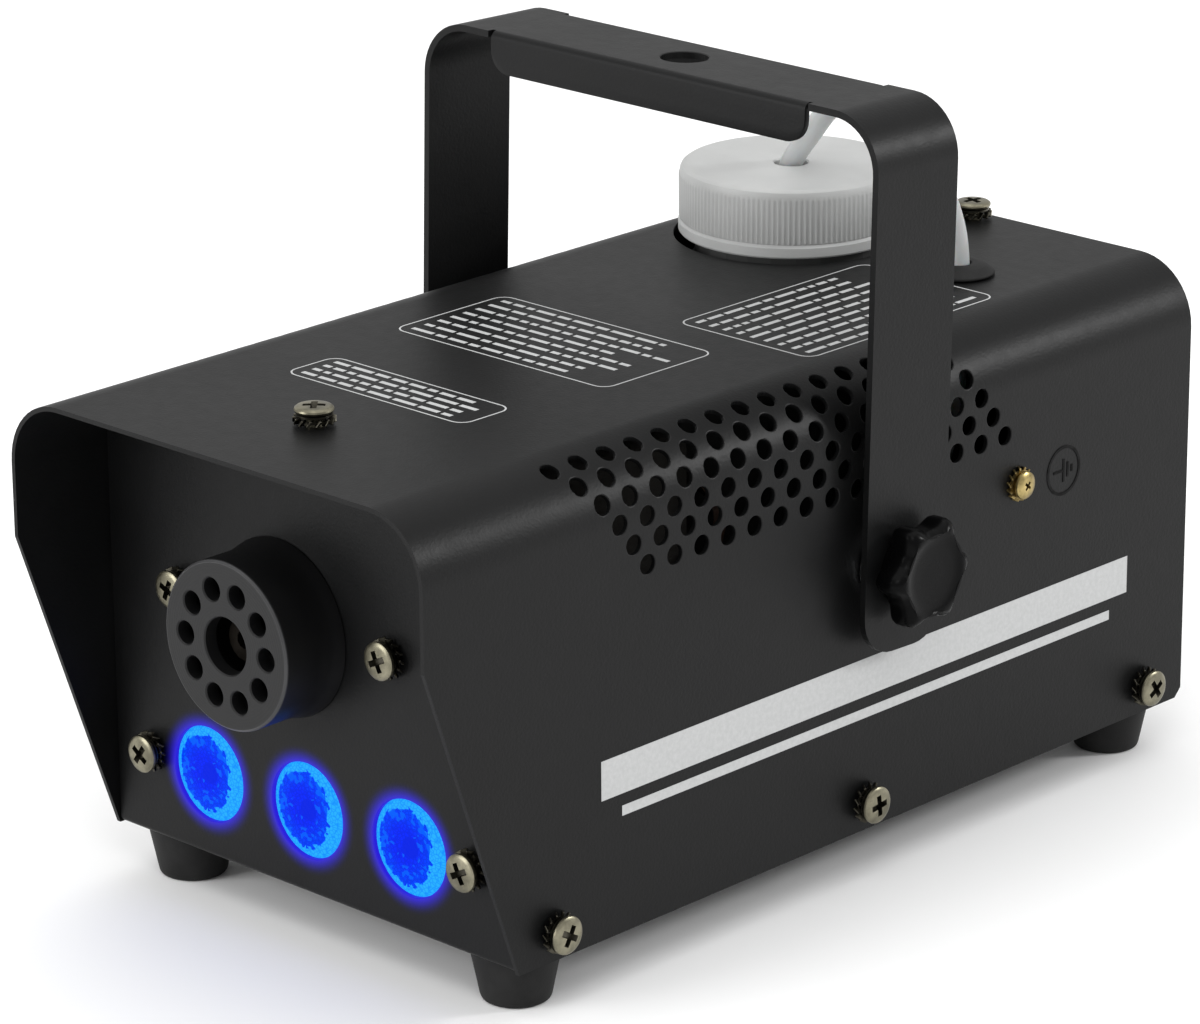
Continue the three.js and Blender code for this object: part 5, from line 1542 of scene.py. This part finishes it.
class PrintedMarks(bpy.types.Operator):
    """Adds the printed outlines with plain dashes on top, plain stripes on the sides and the earth mark"""

    bl_idname = "fog.printed_marks"
    bl_label = "Printed marks"

    def execute(self, context):
        self.labels()
        self.stripes()
        self.earth_mark()
        return {"FINISHED"}

    def on_top(self, u, v, height):
        return Vector((u, v, TOP_Z + height))

    def labels(self):
        """Rounded boxes, each filled with rows of plain dashes."""
        rng = random.Random(11)
        boxes = [(-28.9, 22.7, -70.6, -56.4, 4), (-34.2, 27.4, -34.2, -1.2, 8), (7.0, 44.4, 9.6, 69.8, 9)]
        outline_lines = []
        dash_lines = []
        for x0, x1, y0, y1, rows in boxes:
            cx, cy = (x0 + x1) / 2 * MM, COVER_MID_Y + (y0 + y1) / 2 * MM
            half_w, half_h = (x1 - x0) / 2 * MM, (y1 - y0) / 2 * MM
            outline_lines.append((rounded_rectangle(half_w, half_h, 0.003, 6, cx, cy), True))
            along_y = half_h > half_w
            for row in range(rows):
                share = (row + 0.8) / (rows + 0.6)
                dash_lines += self.row_of_dashes(rng, cx, cy, half_w, half_h, share, along_y)
        self.add("label_outlines", strokes(outline_lines, 0.00038, 0.00002, self.on_top))
        self.add("label_dashes", strokes(dash_lines, 0.0012, 0.00002, self.on_top))

    def row_of_dashes(self, rng, cx, cy, half_w, half_h, share, along_y):
        length, across = (half_h, half_w) if along_y else (half_w, half_h)
        offset = across * (1 - 2 * share)
        position = -length + 0.0026
        end = length * rng.uniform(0.55, 0.92)
        made = []
        while position < end - 0.002:
            dash = rng.uniform(0.0016, 0.0064)
            stop = min(position + dash, end)
            if along_y:
                made.append(([(cx - offset, cy + position), (cx - offset, cy + stop)], False))
            else:
                made.append(([(cx + position, cy + offset), (cx + stop, cy + offset)], False))
            position = stop + 0.0010
        return made

    def stripes(self):
        """Two plain stripes low on each side."""
        for side, sign in (("right", 1), ("left", -1)):

            def on_side(u, v, height, sign=sign):
                return Vector((sign * (HALF_W + height), COVER_MID_Y + u, FOOT_H + v))

            wide = strokes([([(-0.070, 0.0345), (0.098, 0.0345)], False)], 0.0085, 0.00002, on_side)
            thin = strokes([([(-0.064, 0.0265), (0.092, 0.0265)], False)], 0.0022, 0.00002, on_side)
            self.add(f"side_stripes_{side}", add_bm(wide, thin))

    def earth_mark(self):
        """The usual earth sign in its ring, beside the earth screw, drawn as strokes in painted groove shade.
        """

        def on_side(u, v, height):
            return Vector((HALF_W + height, COVER_MID_Y + 0.0749 + u, FOOT_H + 0.0643 + v))

        ring = strokes([(circle(0, 0, 0.0053, 48), True)], 0.0007, 0.00002, on_side, 0.0001)
        lines = [((-0.0034, 0), (-0.0002, 0))]
        lines += [((u, -half), (u, half)) for u, half in ((0, 0.0026), (0.0014, 0.0017), (0.0028, 0.0008))]
        bars = strokes([(line, False) for line in lines], 0.0006, 0.00002, on_side, 0.0001)
        add_piece("earth_mark", mesh_from(add_bm(ring, bars)), None, "emboss", sharp=30)

    def add(self, name, bm):
        add_piece(name, mesh_from(bm), None, "ink", sharp=30)


class InnerFinishes(bpy.types.Operator):
    """Gives the pieces inside the casing their finishes"""

    bl_idname = "fog.inner_finishes"
    bl_label = "Inner finishes"

    def execute(self, context):
        groups = {
            "brass": ["pump_body"],
            "sooty": ["outlet_pipe"],
            "aluminium": ["heater_block"],
            "steel": ["heating_element", "heater_bracket", "thermal_fuse", "bottle_cradle", "pump_bracket"],
            "wrap": ["heater_wrap"],
            "plastic": ["thermostat", "led_holder", "pump_coil"],
            "board": ["led_board", "control_board"],
            "bottle": ["fluid_bottle"],
            "hose": ["feed_hose", "pickup_tube"],
            "copper": ["pressure_pipe"],
            "glass": ["fuse_link"],
        }
        for name, nodes in groups.items():
            for node in nodes:
                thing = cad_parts[node]
                for slot in thing.material_slots:
                    slot.link = "OBJECT"
                    slot.material = FINISHES[name]
        return {"FINISHED"}


class Finishes(bpy.types.Operator):
    """Makes every material"""

    bl_idname = "fog.finishes"
    bl_label = "Finishes"

    def execute(self, context):
        colours = context.scene.fog_colours
        FINISHES.clear()
        FINISHES.update(
            paint=powder_coat("black_powder_coat", tuple(colours.paint)),
            panel=powder_coat("powder_coat_painted_glow", tuple(colours.paint), lamps=LAMPS),
            plastic=moulded_black("black_moulding"),
            knob=moulded_black("knob_moulding", 1700, 0.28, (0.0012, 0.0012, 0.0013), 0.07),
            rocker=moulded_black("rocker_gloss", 2400, 0.18, (0.005, 0.005, 0.005)),
            nozzle=turned_black("nozzle_moulding", middle("nozzle")),
            rubber=black_rubber("black_rubber"),
            nickel=plated("warm_nickel", tuple(colours.nickel), 0.36),
            washer=plated("dark_washer_and_painted_recess_shade", (0.075, 0.070, 0.055), 0.34),
            brass=plated("bright_brass", (0.40, 0.31, 0.13), 0.32),
            brass_dull=plated("dull_brass_and_painted_recess_shade", (0.33, 0.25, 0.105), 0.36),
            steel=plated("zinc_plate", (0.58, 0.59, 0.60), 0.34),
            aluminium=plated("cast_aluminium", (0.62, 0.63, 0.64), 0.42),
            # Near-black: a heat stain, darkened further as painted shade in the nozzle's mouth.
            sooty=plated("heat_stained_brass_and_mouth_shade", (0.014, 0.012, 0.010), 0.6),
            copper=plated("dull_copper", (0.20, 0.11, 0.075), 0.45),
            cap=cap_plastic("white_cap_plastic", tuple(colours.cap)),
            hose=hose_plastic("milky_hose"),
            lens=lamp_lens("lit_blue_lens", LAMPS, tuple(colours.lamp)),
            ink=printed_ink("printed_ink", tuple(colours.print_ink)),
            emboss=embossed_black("earth_mark_in_painted_shade"),
            wrap=cloth_wrap("heat_wrap_in_painted_shade"),
            board=circuit_board("green_board_in_painted_shade"),
            bottle=bottle_plastic("bottle_in_painted_shade"),
            glass=fuse_glass("fuse_glass"),
        )
        return {"FINISHED"}


class Stage(bpy.types.Operator):
    """Adds the pale floor and the soft studio lights"""

    bl_idname = "fog.stage"
    bl_label = "Stage"

    def execute(self, context):
        self.floor(context)
        self.world(context)
        for name, place_at, size, watts in SOFTBOXES:
            self.softbox(context, name, place_at, size, watts)
        return {"FINISHED"}

    def floor(self, context):
        bm = bmesh.new()
        bmesh.ops.create_grid(bm, x_segments=24, y_segments=24, size=6)
        mesh = mesh_from(bm)
        made = Finish("pale_floor", Specular_IOR_Level=0.25)
        cloud = made.noise(2.0, 3.0, 0.5)
        tint = made.mix(cloud, (0.91, 0.91, 0.91), (0.93, 0.93, 0.93))
        mesh.materials.append(made.feed(Base_Color=tint, Roughness=0.6 + cloud * 0.1))
        floor = bpy.data.objects.new("floor", mesh)
        context.scene.collection.objects.link(floor)

    def world(self, context):
        world = bpy.data.worlds.new("studio")
        world.use_nodes = True
        back = world.node_tree.nodes["Background"]
        back.inputs["Color"].default_value = (1.0, 1.0, 1.0, 1)
        back.inputs["Strength"].default_value = WORLD_STRENGTH
        context.scene.world = world
        context.scene.view_settings.view_transform = "Standard"

    def softbox(self, context, name, place_at, size, power):
        data = bpy.data.lights.new(name, "AREA")
        data.shape = "SQUARE"
        data.size = size
        data.energy = power
        light = bpy.data.objects.new(name, data)
        context.scene.collection.objects.link(light)
        light.location = place_at
        aim = LIGHT_AIM - Vector(place_at)
        light.rotation_euler = aim.to_track_quat("-Z", "Y").to_euler()


ORDER = (
    Finishes, Camera, Hose, UpperCover, ChassisTray, HangingBracket, StarKnobs, PivotBushes, Screws, Nozzle,
    LampLenses, Feet, BottleCap, Grommet, RearFittings, PrintedMarks, InnerFinishes, Stage,
)


class FogPanel(bpy.types.Panel):
    """Lists every step in the sidebar"""

    bl_idname = "VIEW3D_PT_fog"
    bl_label = "Fog machine"
    bl_space_type = "VIEW_3D"
    bl_region_type = "UI"
    bl_category = "Fog machine"

    def draw(self, context):
        layout = self.layout
        for group in (context.scene.fog_casing, context.scene.fog_colours):
            for key in group.__class__.__annotations__:
                layout.prop(group, key)
        for step in ORDER:
            layout.operator(step.bl_idname)


CLASSES = (CasingSizes, FinishColours, *ORDER, FogPanel)


def register():
    for made in CLASSES:
        bpy.utils.register_class(made)
    bpy.types.Scene.fog_casing = PointerProperty(type=CasingSizes)
    bpy.types.Scene.fog_colours = PointerProperty(type=FinishColours)


def unregister():
    del bpy.types.Scene.fog_colours
    del bpy.types.Scene.fog_casing
    for made in reversed(CLASSES):
        bpy.utils.unregister_class(made)


def main():
    register()
    for step in ORDER:
        category, name = step.bl_idname.split(".")
        getattr(getattr(bpy.ops, category), name)()


if __name__ == "__main__":
    main()
